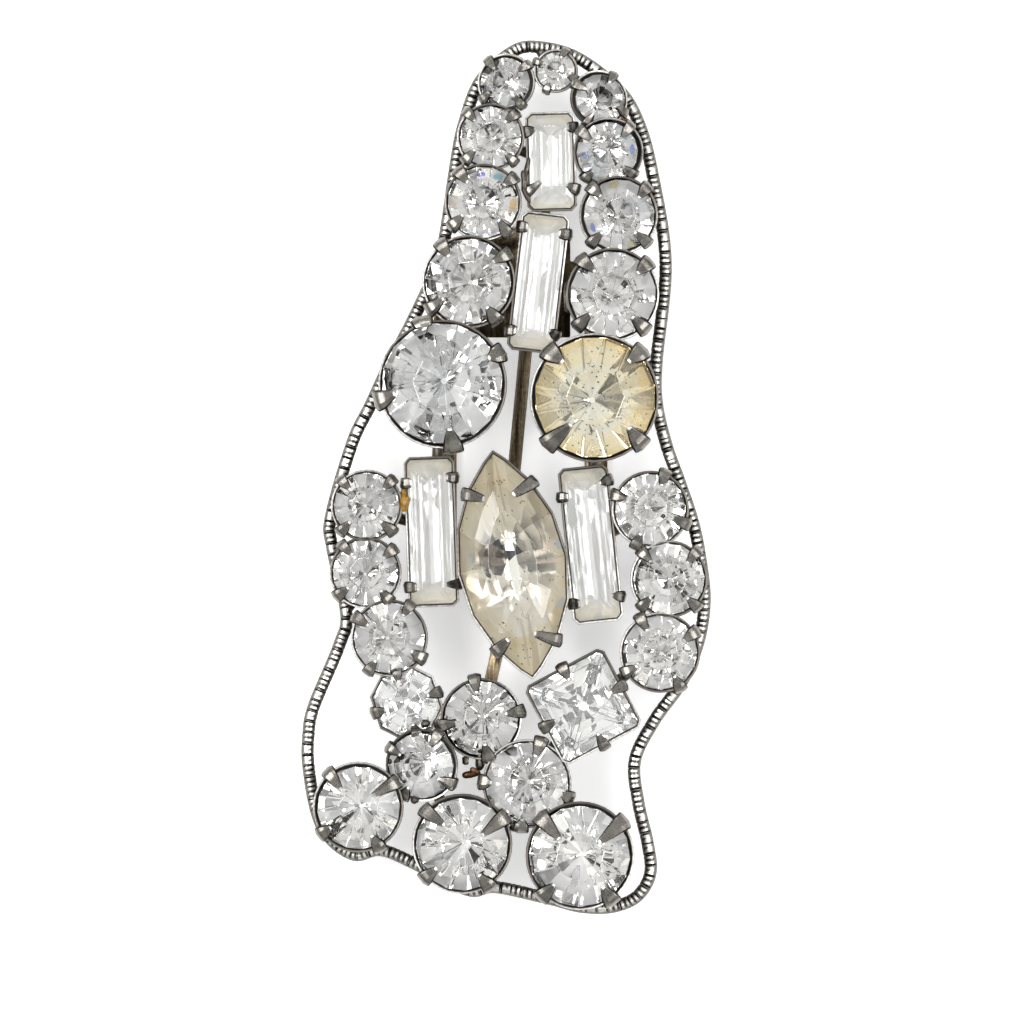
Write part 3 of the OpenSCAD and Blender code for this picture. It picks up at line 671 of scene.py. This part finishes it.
def bright_foil(seat):
    """Whiter than the others, with no heart, and painted shade and highlights on its shards and facets."""
    foil = Foil(seat, (1.0, 0.995, 0.98), (0.92, 0.91, 0.88), shard=2.0)
    foil.light_shards(0.3)
    return foil.finish(tilt=0.05)


def silver_foil(seat):
    """The foil of most round stones, with painted shade and highlights on its shards and facets, a grey
    heart a little above the middle as a painted reflection, and painted fire in some.
    """
    foil = Foil(seat, (0.98, 0.972, 0.96), shard=1.6)
    foil.light_shards(0.3)
    aside = (0, 0.05 * seat.width, 0)
    foil.mirror_at(foil.heart((0.74, 0.735, 0.725), 0.18 * seat.width, 0.21 * seat.width, aside))
    if seat.name in FIRE:
        foil.fire()
    return foil.finish(tilt=0.05)


# The foil of each stone that hasn't the common one
FOILS = {
    "navette": navette_foil,
    "stone_right_5": yellowed_foil,
    "baguette_top": baguette_foil,
    "baguette_upper": baguette_foil,
    "baguette_left": baguette_foil,
    "baguette_right": baguette_foil,
    "square": square_foil,
    "cushion": square_foil,
    "stone_left_5": large_foil,
    "stone_left_10": bright_foil,
    "stone_low_3": bright_foil,
    "stone_low_4": bright_foil,
}


# Stones. A facet's painted light runs from -1, a painted white highlight, over 0 to 1, a painted dark
# reflection

STONE_SEED = 8
FACET_EDGE = 0.005
STEP_EDGE = 0.035
CULET_OFF = 0.03
FACING_DOWN = -0.3
FACET_LIGHTS = (0, 0, 0, 0.1, 0.2, 0.45, -1, -1)
TAN_FACET_LIGHTS = (0, 0, 0, 0, 0.15, 0.4)


def recut(seat, rng):
    """Turns a round stone's cut about its axis and moves its point off the middle, as no two are alike."""
    axis = seat.axes.col[2]
    turn = Matrix.Rotation(rng.uniform(0, math.tau), 3, axis)
    for v in seat.bm.verts:
        v.co = seat.centre + turn @ (v.co - seat.centre)
    point = min(seat.bm.verts, key=lambda v: (v.co - seat.centre).dot(axis))
    point.co += polar(rng.uniform(0, 360), CULET_OFF * seat.width)


def shade_facets(seat, edges, rng):
    """Gives each facet its painted light and its material: 0 for glass, 1 for foil and 2 for a rubbed edge.
    """
    facet_lights = TAN_FACET_LIGHTS if seat.name == "navette" else FACET_LIGHTS if seat.round else ()
    down = seat.axes.col[2] * -1
    facet_light = seat.bm.faces.layers.float.new("facet_light")
    for face in seat.bm.faces:
        if facet_lights:
            face[facet_light] = rng.choice(facet_lights)
        face.smooth = False
        if face.normal.dot(down) > FACING_DOWN:
            face.material_index = 1
        else:
            face.material_index = 2 if face in edges else 0


def stone_piece(seat, rng):
    """The stone as cut: glass crown and edge, foil behind, and its edges a touch rounded."""
    bm = seat.bm
    if seat.round:
        recut(seat, rng)
    edge = FACET_EDGE * seat.width if seat.round else STEP_EDGE
    made = bmesh.ops.bevel(
        bm, geom=bm.edges[:], offset=edge, segments=1, affect="EDGES", clamp_overlap=True)
    edges = set(made["faces"])
    bm.normal_update()
    shade_facets(seat, edges, rng)
    bmesh.ops.scale(bm, vec=(MM,) * 3, verts=bm.verts)
    mesh = bpy.data.meshes.new(seat.name + "_cut")
    bm.to_mesh(mesh)
    bm.free()
    aged = seat.name in YELLOWED
    glass = yellow_glass if aged else clear_glass if seat.round else soft_glass
    foil = FOILS.get(seat.name, silver_foil)(seat)
    placed(seat.name + "_cut", mesh, [glass, foil, rubbed_edge], seat.name)


# Cups

CUP_SEED = 3
RIM_RISE = 0.1
RIM_UNEVEN = 0.06
# How much fainter the rim's painted highlight grows on one side
RIM_HIGHLIGHT_FADE = 0.5


def offset(outline, d):
    """An outline moved outwards by d."""
    n = len(outline)
    moved = []
    for i, p in enumerate(outline):
        before, after = (p - outline[i - 1]).normalized(), (outline[(i + 1) % n] - p).normalized()
        a, b = before.cross(UP), after.cross(UP)
        moved.append(p + (a + b) * d / (1 + a.dot(b)))
    return moved


def cup_profile(seat, rise):
    """Round a cup's wall, from its hole up the outside and down the inside: how far out from the stone's
    edge, how high, and how dark: painted shade inside and underneath, and below nought a painted
    highlight along the rim."""
    rim = CLEARANCE + CUP_WALL + seat.rim_gap
    inner = rim - CUP_WALL
    foot = rim - (1 - CUP_TAPER) * (seat.width / 2 + rim)
    hole = foot - (1 - CUP_HOLE) * CUP_TAPER * seat.width / 2
    return [
        (hole, -seat.depth, 0.9), (foot, -seat.depth, 0.6),
        (foot * 0.5 + rim * 0.5, -seat.depth * 0.5, 0.3), (rim - 0.1, -0.25, 0.6),
        (rim - 0.04, rise - 0.1, 0.4), (rim - 0.09, rise, -0.62),
        (inner + 0.05, rise - 0.02, -0.3), (inner, rise - 0.14, 1.0), (inner, -0.3, 1.0),
        (foot - CUP_WALL, CUP_FLOOR - seat.depth, 1.0), (hole, CUP_FLOOR - seat.depth, 1.0),
    ]


def add_cup(skin, seat, rng):
    """A cup whose wall narrows to a floor with a hole, and whose rolled rim has a painted highlight,
    fainter on one side.
    """
    shift = polar(seat.rim_to, seat.rim_gap)
    rise = RIM_RISE + rng.uniform(0, RIM_UNEVEN)
    highlight_side = polar(rng.uniform(0, 360))
    rings, dirt_and_painted_light = [], []
    for off, z, darkening in cup_profile(seat, rise):
        ring = offset(seat.outline, off)
        low = max(0.0, min(1.0, -z / seat.depth))
        rings.append([seat.at(p + shift * (1 - low) + Vector((0, 0, z))) for p in ring])
        # The painted highlight along the rim fades away from one side, chosen at random
        if darkening < 0:
            darkening = [darkening + RIM_HIGHLIGHT_FADE * (0.5 - 0.5 * highlight_side.dot(p.normalized())) for p in ring]
        dirt_and_painted_light.append(darkening)
    skin.add(rings, dirt_and_painted_light, loop=True)


# Claws, whose size is 1 on a round stone that is CLAW_FITS wide

CLAW_ROOT = 0.68
CLAW_T = 0.34
CLAW_BULGE = 0.26
CLAW_DROP = 0.42
CLAW_REACH = 0.15
SQUARE_REACH = 0.13
SIDE_CLAW_LEAST = 0.7
SIDE_CLAW_GROWTH = 0.03
CLAW_STEPS = 2
SKEW = 0.12
ASKEW = 4

# A claw across its width: the side, the height, and how dark each point is at the root and at the tip,
# with painted shade along its sides and underneath and a painted highlight along one top edge towards the
# tip. Its one ridge stands off the middle
CLAW_SECTION = [
    (-1, -0.6, 0.6, 0.8), (-0.8, -1, 0.6, 0.8), (0.8, -1, 0.6, 0.8), (1, -0.6, 0.6, 0.8),
    (1, 0.0, 0.9, 1.0), (0.91, 0.45, 0.9, 0.6), (0.83, 0.66, 0.0, -0.65), (0.7, 0.82, 0.05, -0.3),
    (-0.22, 1.3, -0.1, 0.05), (-0.32, 1.34, -0.1, 0.05), (-0.8, 0.74, 0.1, 0.1), (-0.9, 0.45, 0.9, 0.6),
    (-1, 0.0, 0.9, 1.0),
]
CREASED_ABOVE = -0.1
FACE_ABOVE = 0.4

# Along a claw, as shares of its length: where the tip's values begin and are full, and where its painted
# highlight begins
TIP_FROM, TIP_FULL = 0.55, 0.8
TIP_HIGHLIGHT_FROM = 0.82
# The painted highlight on the top near the tip, and the painted shade low on the root
TIP_SHINE = -0.8
ROOT_SHADE = 0.7


def claw_stands(seat, rng):
    """Each claw of a stone: where it stands at the edge, which way is out, its reach and its bluntness."""
    w = seat.width
    if seat.round:
        known = REACHES.get(seat.name, [CLAW_REACH * w * rng.uniform(0.85, 1.15) for _ in range(4)])
        return [(polar(a, w / 2), a, reach, 0) for a, reach in zip(seat.claw_angles, known)]
    if seat.name not in SIDE_CLAWS:
        return [(polar(90 * k, w / 2), 90 * k, SQUARE_REACH * w, 0) for k in range(4)]
    stands = []
    for side, share, reach, slant, blunt in SIDE_CLAWS[seat.name]:
        y = share * seat.length
        x, tilt = seat.side_at(y)
        out = tilt if side > 0 else 180 - tilt
        stands.append((Vector((side * x, y, 0)), out + slant, reach, blunt))
    return stands


def claw_size(seat):
    if seat.round:
        return CLAW_LEAST + (1 - CLAW_LEAST) * seat.width / CLAW_FITS
    return SIDE_CLAW_LEAST + SIDE_CLAW_GROWTH * seat.width


def claw_way(seat, facing, reach, blunt, size, lift):
    """Down the middle of a claw from its root on the cup's wall to its tip on the crown: how far out and
    how high it is, and its width and thickness as shares of the most."""
    rim = CLEARANCE + CUP_WALL + max(0.0, polar(facing).dot(polar(seat.rim_to))) * seat.rim_gap
    drop = CLAW_DROP * seat.depth
    lean = (1 - CUP_TAPER) * (seat.width / 2 + rim) / seat.depth
    bulge = CLAW_BULGE * size
    return [
        (rim - lean * drop + 0.02, -drop, 0.7, 0.7),
        (rim - lean * drop * 0.5 + 0.5 * bulge, -drop * 0.5, 0.86, 0.9),
        (rim + bulge, -0.1, 1.0, 1.0),
        (rim * 0.9 + 0.3 * bulge, 0.4, 0.98, 1.0),
        (-0.1 * reach, seat.crown_at(0.1 * reach) + lift + 0.08, 0.84 + 0.1 * blunt, 1.0),
        (-0.5 * reach, seat.crown_at(0.5 * reach) + lift + 0.04, 0.6 + 0.26 * blunt, 0.95),
        (-0.84 * reach, seat.crown_at(0.84 * reach) + lift, 0.38 + 0.36 * blunt, 0.95),
        (-0.96 * reach, seat.crown_at(0.96 * reach) + lift, 0.31 + 0.28 * blunt, 0.8),
        (-reach, seat.crown_at(reach) + lift * 0.8, 0.17 + 0.12 * blunt, 0.35),
    ]


def claw_dirt_and_painted_light(section, share, depth):
    """Painted shade and highlights round a claw, at a share of its length and of its root's depth below the
    edge.
    """
    low = ROOT_SHADE * min(1.0, depth) if depth > 0 else -1.0
    to_tip = max(0.0, min(1.0, (share - TIP_FROM) / (TIP_FULL - TIP_FROM)))
    shine = TIP_SHINE if share > TIP_HIGHLIGHT_FROM else 0.0
    return [
        max(low, root + (tip - root) * to_tip + shine * (height > FACE_ABOVE))
        for _, height, root, tip in section]


def add_claw(skin, seat, stand, facing, reach, blunt, rng):
    """A tapered tab that stands on the cup's wall, folds over the stone's edge and lies on its crown."""
    size = claw_size(seat)
    thick = CLAW_T * size**0.5
    way = claw_way(seat, facing, reach, blunt, size, CLEARANCE + thick / 2)
    line = smooth_line([Vector((u, 0, z)) for u, z, _, _ in way], CLAW_STEPS)
    sizes = smooth_line([Vector((w, t, 0)) for _, _, w, t in way], CLAW_STEPS)
    skew = rng.uniform(-SKEW, SKEW)
    wide = CLAW_ROOT * size * rng.uniform(0.93, 1.07)
    hand = rng.choice((-1, 1))
    turn = Matrix.Rotation(math.radians(facing + rng.uniform(-ASKEW, ASKEW)), 3, "Z")
    section = CLAW_SECTION[::hand]
    rings, dirt_and_painted_light = [], []
    for i, (p, share) in enumerate(zip(line, sizes)):
        along = (line[min(i + 1, len(line) - 1)] - line[max(i - 1, 0)]).normalized()
        face = Vector((0, 1, 0)).cross(along)
        ring = []
        for a, b, _, _ in section:
            side = hand * a * (share.x * wide) + skew * max(0.0, -p.x)
            q = p + Vector((0, side, 0)) + face * (b * (share.y * thick / 2))
            ring.append(seat.at(stand + turn @ q))
        rings.append(ring)
        dirt_and_painted_light.append(claw_dirt_and_painted_light(section, i / (len(line) - 1), -p.z / (CLAW_DROP * seat.depth)))
    skin.add(rings, dirt_and_painted_light, creases=[k for k, row in enumerate(section) if row[1] > CREASED_ABOVE])


def setting_pieces(seats):
    """All cups in one piece, and all claws in another."""
    cups, claws = Skin(), Skin()
    rng = random.Random(CUP_SEED)
    for name in sorted(seats):
        add_cup(cups, seats[name], rng)
        for stand in claw_stands(seats[name], rng):
            add_claw(claws, seats[name], *stand, rng)
    cups.piece("stone_cups", white_metal, "white_metal", "setting_frame")
    claws.piece("claws", claw_metal, "white_metal", sharp=50)


# Border wire. A bead has a deep cut over its top at its first step, and two finer cuts on its inner side

BORDER_SEED = 11
ROUTE_STEPS = 12
BORDER_SIDES = 16
BEAD = 1.04
BEAD_UNEVEN = 0.12
BEAD_STEPS = (0.0, 0.07, 0.17, 0.26, 0.42, 0.58, 0.75, 0.93)
DEEP_CUT, FINE_CUT, LAST_CUT = 0, 2, 5
DEEP_CUT_AT, FINE_CUT_AT = 75, 120
LAST_CUTS = (0.2, 0.5, 0.8, 1.1)

# Painted light of a bead round the wire, at angles from its outer side over its top: painted shade on its
# sides and underneath, a painted highlight over its top
BEAD_LIGHT = (
    (-20, 1.0), (5, 0.6), (25, 0.1), (42, -0.1), (55, -0.6), (110, -0.7), (130, -0.4), (145, 0.4),
    (165, 1.0))


def border_route(seats):
    points = [seats[name].centre + polar(a, seats[name].reach(a) + off) for name, a, off in BORDER]
    n = len(points)
    route = []
    for i in range(n):
        four = [points[(i + k) % n] for k in (-1, 0, 1, 2)]
        route += [curve_point(*four, k / ROUTE_STEPS) for k in range(ROUTE_STEPS)]
    return [Vector((p.x, p.y, BORDER_LEVEL)) for p in route]


def walk(route):
    """A function that gives the point of a closed route at a distance along it, and its whole length."""
    spans = [(route[(i + 1) % len(route)] - p).length for i, p in enumerate(route)]
    total = sum(spans)

    def at(distance):
        distance %= total
        for i, span in enumerate(spans):
            if distance <= span:
                return route[i].lerp(route[(i + 1) % len(route)], distance / span)
            distance -= span
        return route[0]

    return at, total


def lobe(angle, middle):
    """1 at one angle, falling to 0 a quarter turn to each side of it."""
    return max(0.0, math.cos(math.radians(angle - middle)))


def bead_point(step, angle, last):
    """Radius and painted light of the wire at a step of a bead and an angle from its outer side over its
    top, darker in the cuts, where last says how deep the bead's last cut is."""
    deep, fine = min(1.0, 1.6 * lobe(angle, DEEP_CUT_AT)), lobe(angle, FINE_CUT_AT)
    cut, darkening = {
        DEEP_CUT: (0.24 * deep, 1.1 * deep),
        FINE_CUT: (0.16 * fine, 1.3 * fine**2 - 0.2),
        LAST_CUT: (0.08 * fine * last, last * (1.3 * fine**1.5 - 0.1)),
    }.get(step, (0, 0))
    flat = 0.06 * lobe(2 * angle, 40)
    plain = between(BEAD_LIGHT, angle)
    return BORDER_R * (1 - cut - flat), min(1.1, max(darkening, plain)) if darkening > 0.2 else plain


def bead_ring(p, outwards, step, last):
    """Points and painted light round the wire at one step of a bead."""
    ring, darkening = [], []
    for k in range(BORDER_SIDES):
        angle = 360 * k / BORDER_SIDES - 90
        a = math.radians(angle)
        r, d = bead_point(step, angle, last)
        ring.append(p + (outwards * math.cos(a) + UP * math.sin(a)) * r)
        darkening.append(d)
    return ring, darkening


def border_piece(seats):
    at, total = walk(border_route(seats))
    beads = round(total / BEAD)
    rng = random.Random(BORDER_SEED)
    rings, dirt_and_painted_light = [], []
    for b in range(beads):
        jitter = rng.uniform(-BEAD_UNEVEN, BEAD_UNEVEN)
        last = rng.choice(LAST_CUTS)
        for step, share in enumerate(BEAD_STEPS):
            d = (b + share + (jitter if step > 1 else 0)) * total / beads
            p = at(d)
            outwards = UP.cross((at(d + 0.05) - p).normalized())
            ring, darkening = bead_ring(p, outwards, step, last)
            rings.append(ring)
            dirt_and_painted_light.append(darkening)
    skin = Skin()
    skin.add(rings, dirt_and_painted_light, loop=True)
    skin.piece("border_wire", border_metal, "white_metal", sharp=30)


# Solder and small bits

SOLDER_SEED = 5
BIT_SEED = 6
SOLDER_R = 0.5
SOLDER_SPAN = 1.5
SOLDER_DIRT = 0.3
# The small bits and lumps get painted highlights in spots
BIT_HIGHLIGHT = -0.22
LUMP_SIDES = 10
LUMP_SHAPE = ((0, 0.3), (0.06, 0.62), (0.18, 0.9), (0.5, 1.0), (0.82, 0.9), (0.94, 0.62), (1, 0.3))

# Drops and lumps that the soldering left: place, radius, length, direction in degrees, and how deep it lies
LUMPS = [
    (-8.6, -30.4, 0.36, 0.2, 0, 0.3), (0.8, -32.9, 0.42, 0.3, 40, 0.3), (-7.6, -23.2, 0.4, 0.2, 0, 0.3),
    (-7.1, -24.2, 0.35, 0.2, 0, 0.4), (-6.3, -23.3, 0.4, 0.4, 30, 0.4), (-2.4, -26.5, 0.5, 1.5, 85, 0.8),
    (-3.8, -26.7, 0.35, 0.3, 90, 0.8), (11.3, 34.6, 0.28, 0.2, 0, 0.4), (5.5, 39.9, 0.5, 0.7, 20, 1.0),
    (-1.2, 38.6, 0.5, 0.8, 60, 0.6), (5.9, 17.0, 0.45, 2.4, 88, 0.8), (2.0, 29.2, 0.28, 1.4, 78, 0.6),
    (1.7, 27.9, 0.32, 1.5, 95, 0.6), (1.9, 26.6, 0.28, 1.2, 115, 0.6),
]
COPPER_BITS = [
    (-3.3, -28.0, 0.36, 1.1, 8, 1.0), (-2.9, -27.7, 0.3, 0.6, -30, 0.9), (11.1, 33.7, 0.36, 0.6, -45, 0.4)]
AMBER_DROP = [(-9.65, -2.2, 0.4, 1.5, 92, 0.2), (-9.35, -2.5, 0.3, 0.9, 80, 0.1)]


def add_lump(skin, a, b, r, darkening, rng):
    """A short uneven bar between two points."""
    way = (b - a).normalized()
    side = way.cross(UP).normalized()
    top = side.cross(way)
    rings = []
    for share, size in LUMP_SHAPE:
        p = a.lerp(b, share)
        size *= r * rng.uniform(0.85, 1.15)
        ring = []
        for k in range(LUMP_SIDES):
            t = math.tau * k / LUMP_SIDES
            ring.append(p + (side * math.cos(t) + top * math.sin(t)) * size * rng.uniform(0.9, 1.1))
        rings.append(ring)
    skin.add(rings, [darkening] * len(rings))


def add_bits(skin, table, seats, rng):
    """Small lumps at the height of the nearest stone's edge or lower."""
    for x, y, r, length, heading, down in table:
        spot = Vector((x, y))
        near = min(seats.values(), key=lambda s: (s.centre.xy - spot).length - s.reach(0) * s.round)
        middle = Vector((x, y, near.centre.z - down))
        half = polar(heading, length / 2 + 0.8 * r)
        add_lump(skin, middle - half, middle + half, r, BIT_HIGHLIGHT, rng)


def bits_piece(name, table, material, slot, seats):
    skin = Skin()
    add_bits(skin, table, seats, random.Random(BIT_SEED))
    skin.piece(name, material, slot)


def joint_root(seat, degrees):
    """How far from a stone's centre its cup has the inside of its wall, at the solder's height."""
    rim = seat.width / 2 + CLEARANCE + CUP_WALL
    return seat.reach(degrees) + CLEARANCE - (1 - CUP_TAPER) * rim * (1 - BORDER_R / seat.depth)


def add_joint(skin, seat, degrees, end, rng):
    """A bar of solder from inside a cup's wall to a point, both at the border's level."""
    start = seat.centre + polar(degrees, joint_root(seat, degrees))
    start.z = end.z = BORDER_LEVEL
    add_lump(skin, start, end, SOLDER_R, SOLDER_DIRT, rng)


def solder_piece(seats):
    """Solder wherever two cups, or a cup and the border, come close."""
    skin = Skin()
    rng = random.Random(SOLDER_SEED)
    add_bits(skin, LUMPS, seats, rng)
    names = sorted(seats)
    for i, one in enumerate(names):
        for other in names[i + 1:]:
            a, b = seats[one], seats[other]
            line = b.centre - a.centre
            heading = math.degrees(math.atan2(line.y, line.x))
            gap = Vector((line.x, line.y, 0)).length - a.reach(heading) - b.reach(heading + 180)
            if gap < SOLDER_SPAN:
                add_joint(skin, a, heading, b.centre - polar(heading, joint_root(b, heading + 180)), rng)
    for name, degrees, off in BORDER:
        seat = seats[name]
        if off < SOLDER_SPAN:
            add_joint(skin, seat, degrees, seat.centre + polar(degrees, seat.reach(degrees) + off), rng)
    skin.piece("solder_joints", solder_metal, "white_metal")


# Clip behind

CLIP_FLAT = 1
CLIP_CORNER = 50
CLIP_ROUNDING = 0.12
LEAF_RUN = 10.8
# The leaf at the clip's top end is darker, as painted shade under the stones; the rest of the clip has
# plain dirt
LEAF_SHADE = 0.5
CLIP_DIRT = 0.3


def clip_piece():
    """The spring clip as its solid is, with its sheet's edges rounded, and painted shade on its leaf."""
    bm = bmesh.new()
    bm.from_mesh(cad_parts["back_clip"].data)
    bmesh.ops.remove_doubles(bm, verts=bm.verts, dist=WELD * MM)
    bmesh.ops.dissolve_limit(bm, angle_limit=math.radians(CLIP_FLAT), verts=bm.verts, edges=bm.edges)
    corners = [e for e in bm.edges if e.is_manifold and e.calc_face_angle() > math.radians(CLIP_CORNER)]
    bmesh.ops.bevel(
        bm, geom=corners, offset=CLIP_ROUNDING * MM, segments=2, affect="EDGES", clamp_overlap=True)
    mesh = bpy.data.meshes.new("spring_clip")
    bm.to_mesh(mesh)
    bm.free()
    leaf_end = max(v.co.y for v in mesh.vertices) - LEAF_RUN * MM
    add_dirt_and_painted_light(mesh, [LEAF_SHADE if v.co.y > leaf_end else CLIP_DIRT for v in mesh.vertices])
    smoothed("spring_clip", mesh, brass, "back_clip", 35)


# Floor, light and camera, with lengths in metres apart from the camera's

FLOOR_HALF = 2
FLOOR_GLOW = 0.5

# The lights: name, direction and angle off the zenith in degrees, distance, width and power
LIGHTS = (
    ("left_box", 172, 33, 0.7, 0.36, 2.4),
    ("right_box", -6, 33, 0.7, 0.34, 1.8),
    ("top_box", 95, 36, 0.7, 0.16, 0.8),
)

# The room's noise from its darkest to its brightest value, and the brightness at both
ROOM_STEPS = (0.46, 0.575, 0.14, 1.08)
ROOM_SCALE = 3.6
ROOM_COOL, ROOM_WARM = (0.92, 0.97, 1.0, 1), (1.0, 0.97, 0.91, 1)
TINT_SCALE = 2.3

# What the camera sees: the width of its view and the point in the middle of it
VIEW_WIDTH = 96.36
VIEW_MIDDLE = Vector((0.565, -3.29, 10))
LENS = 250
SENSOR = 36
NEAREST = 0.05


def floor_piece():
    h = FLOOR_HALF
    mesh = bpy.data.meshes.new("floor")
    mesh.from_pydata([(-h, -h, 0), (h, -h, 0), (h, h, 0), (-h, h, 0)], [], [(0, 1, 2, 3)])
    p = Paint("paper")
    p.set(base_color=p.mix(p.noise(30), (0.86, 0.86, 0.86), (0.9, 0.9, 0.9)), roughness=0.9)
    p.set(emission_color=(1.0, 1.0, 1.0), emission_strength=FLOOR_GLOW)
    mesh.materials.append(p.material)
    obj = bpy.data.objects.new("floor", mesh)
    bpy.context.scene.collection.objects.link(obj)


def area_light(name, azimuth, off_zenith, distance, size, watts):
    light = bpy.data.lights.new(name, "AREA")
    light.shape = "DISK"
    light.size = size
    light.energy = watts
    obj = bpy.data.objects.new(name, light)
    a, z = math.radians(azimuth), math.radians(off_zenith)
    obj.location = Vector((math.sin(z) * math.cos(a), math.sin(z) * math.sin(a), math.cos(z))) * distance
    obj.rotation_mode = "QUATERNION"
    obj.rotation_quaternion = obj.location.to_track_quat("Z", "Y")
    bpy.context.scene.collection.objects.link(obj)


def surroundings():
    """A pale room with brighter and darker parts, for the stones to mirror."""
    world = bpy.data.worlds.new("room")
    bpy.context.scene.world = world
    world.use_nodes = True
    tree = world.node_tree
    back = tree.nodes["Background"]
    coords = tree.nodes.new("ShaderNodeTexCoord")
    cloud = tree.nodes.new("ShaderNodeTexNoise")
    cloud.inputs["Scale"].default_value = ROOM_SCALE
    cloud.inputs["Detail"].default_value = 0.0
    ramp = tree.nodes.new("ShaderNodeMapRange")
    for socket, value in zip(ramp.inputs[1:5], ROOM_STEPS):
        socket.default_value = value
    hue = tree.nodes.new("ShaderNodeTexNoise")
    hue.inputs["Scale"].default_value = TINT_SCALE
    tint = tree.nodes.new("ShaderNodeMix")
    tint.data_type = "RGBA"
    tint.inputs[6].default_value = ROOM_COOL
    tint.inputs[7].default_value = ROOM_WARM
    tree.links.new(coords.outputs["Generated"], cloud.inputs["Vector"])
    tree.links.new(coords.outputs["Generated"], hue.inputs["Vector"])
    tree.links.new(cloud.outputs["Fac"], ramp.inputs[0])
    tree.links.new(hue.outputs["Fac"], tint.inputs["Factor"])
    tree.links.new(tint.outputs[2], back.inputs["Color"])
    tree.links.new(ramp.outputs[0], back.inputs["Strength"])


def camera():
    """A long lens straight above the part."""
    data = bpy.data.cameras.new("camera")
    data.sensor_width = SENSOR
    data.lens = LENS
    data.clip_start = NEAREST
    obj = bpy.data.objects.new("camera", data)
    obj.location = (VIEW_MIDDLE + UP * VIEW_WIDTH / SENSOR * LENS) * MM
    bpy.context.scene.collection.objects.link(obj)
    bpy.context.scene.camera = obj


# Making

seats = {name: Seat(name) for name in STONES}
setting_pieces(seats)
border_piece(seats)
solder_piece(seats)
bits_piece("copper_bits", COPPER_BITS, copper, "brass", seats)
bits_piece("amber_drop", AMBER_DROP, amber_glue(), "yellowed_glass", seats)
clip_piece()
stone_rng = random.Random(STONE_SEED)
for seat in seats.values():
    stone_piece(seat, stone_rng)

floor_piece()
surroundings()
for light in LIGHTS:
    area_light(*light)
camera()
bpy.context.scene.view_settings.view_transform = "Standard"
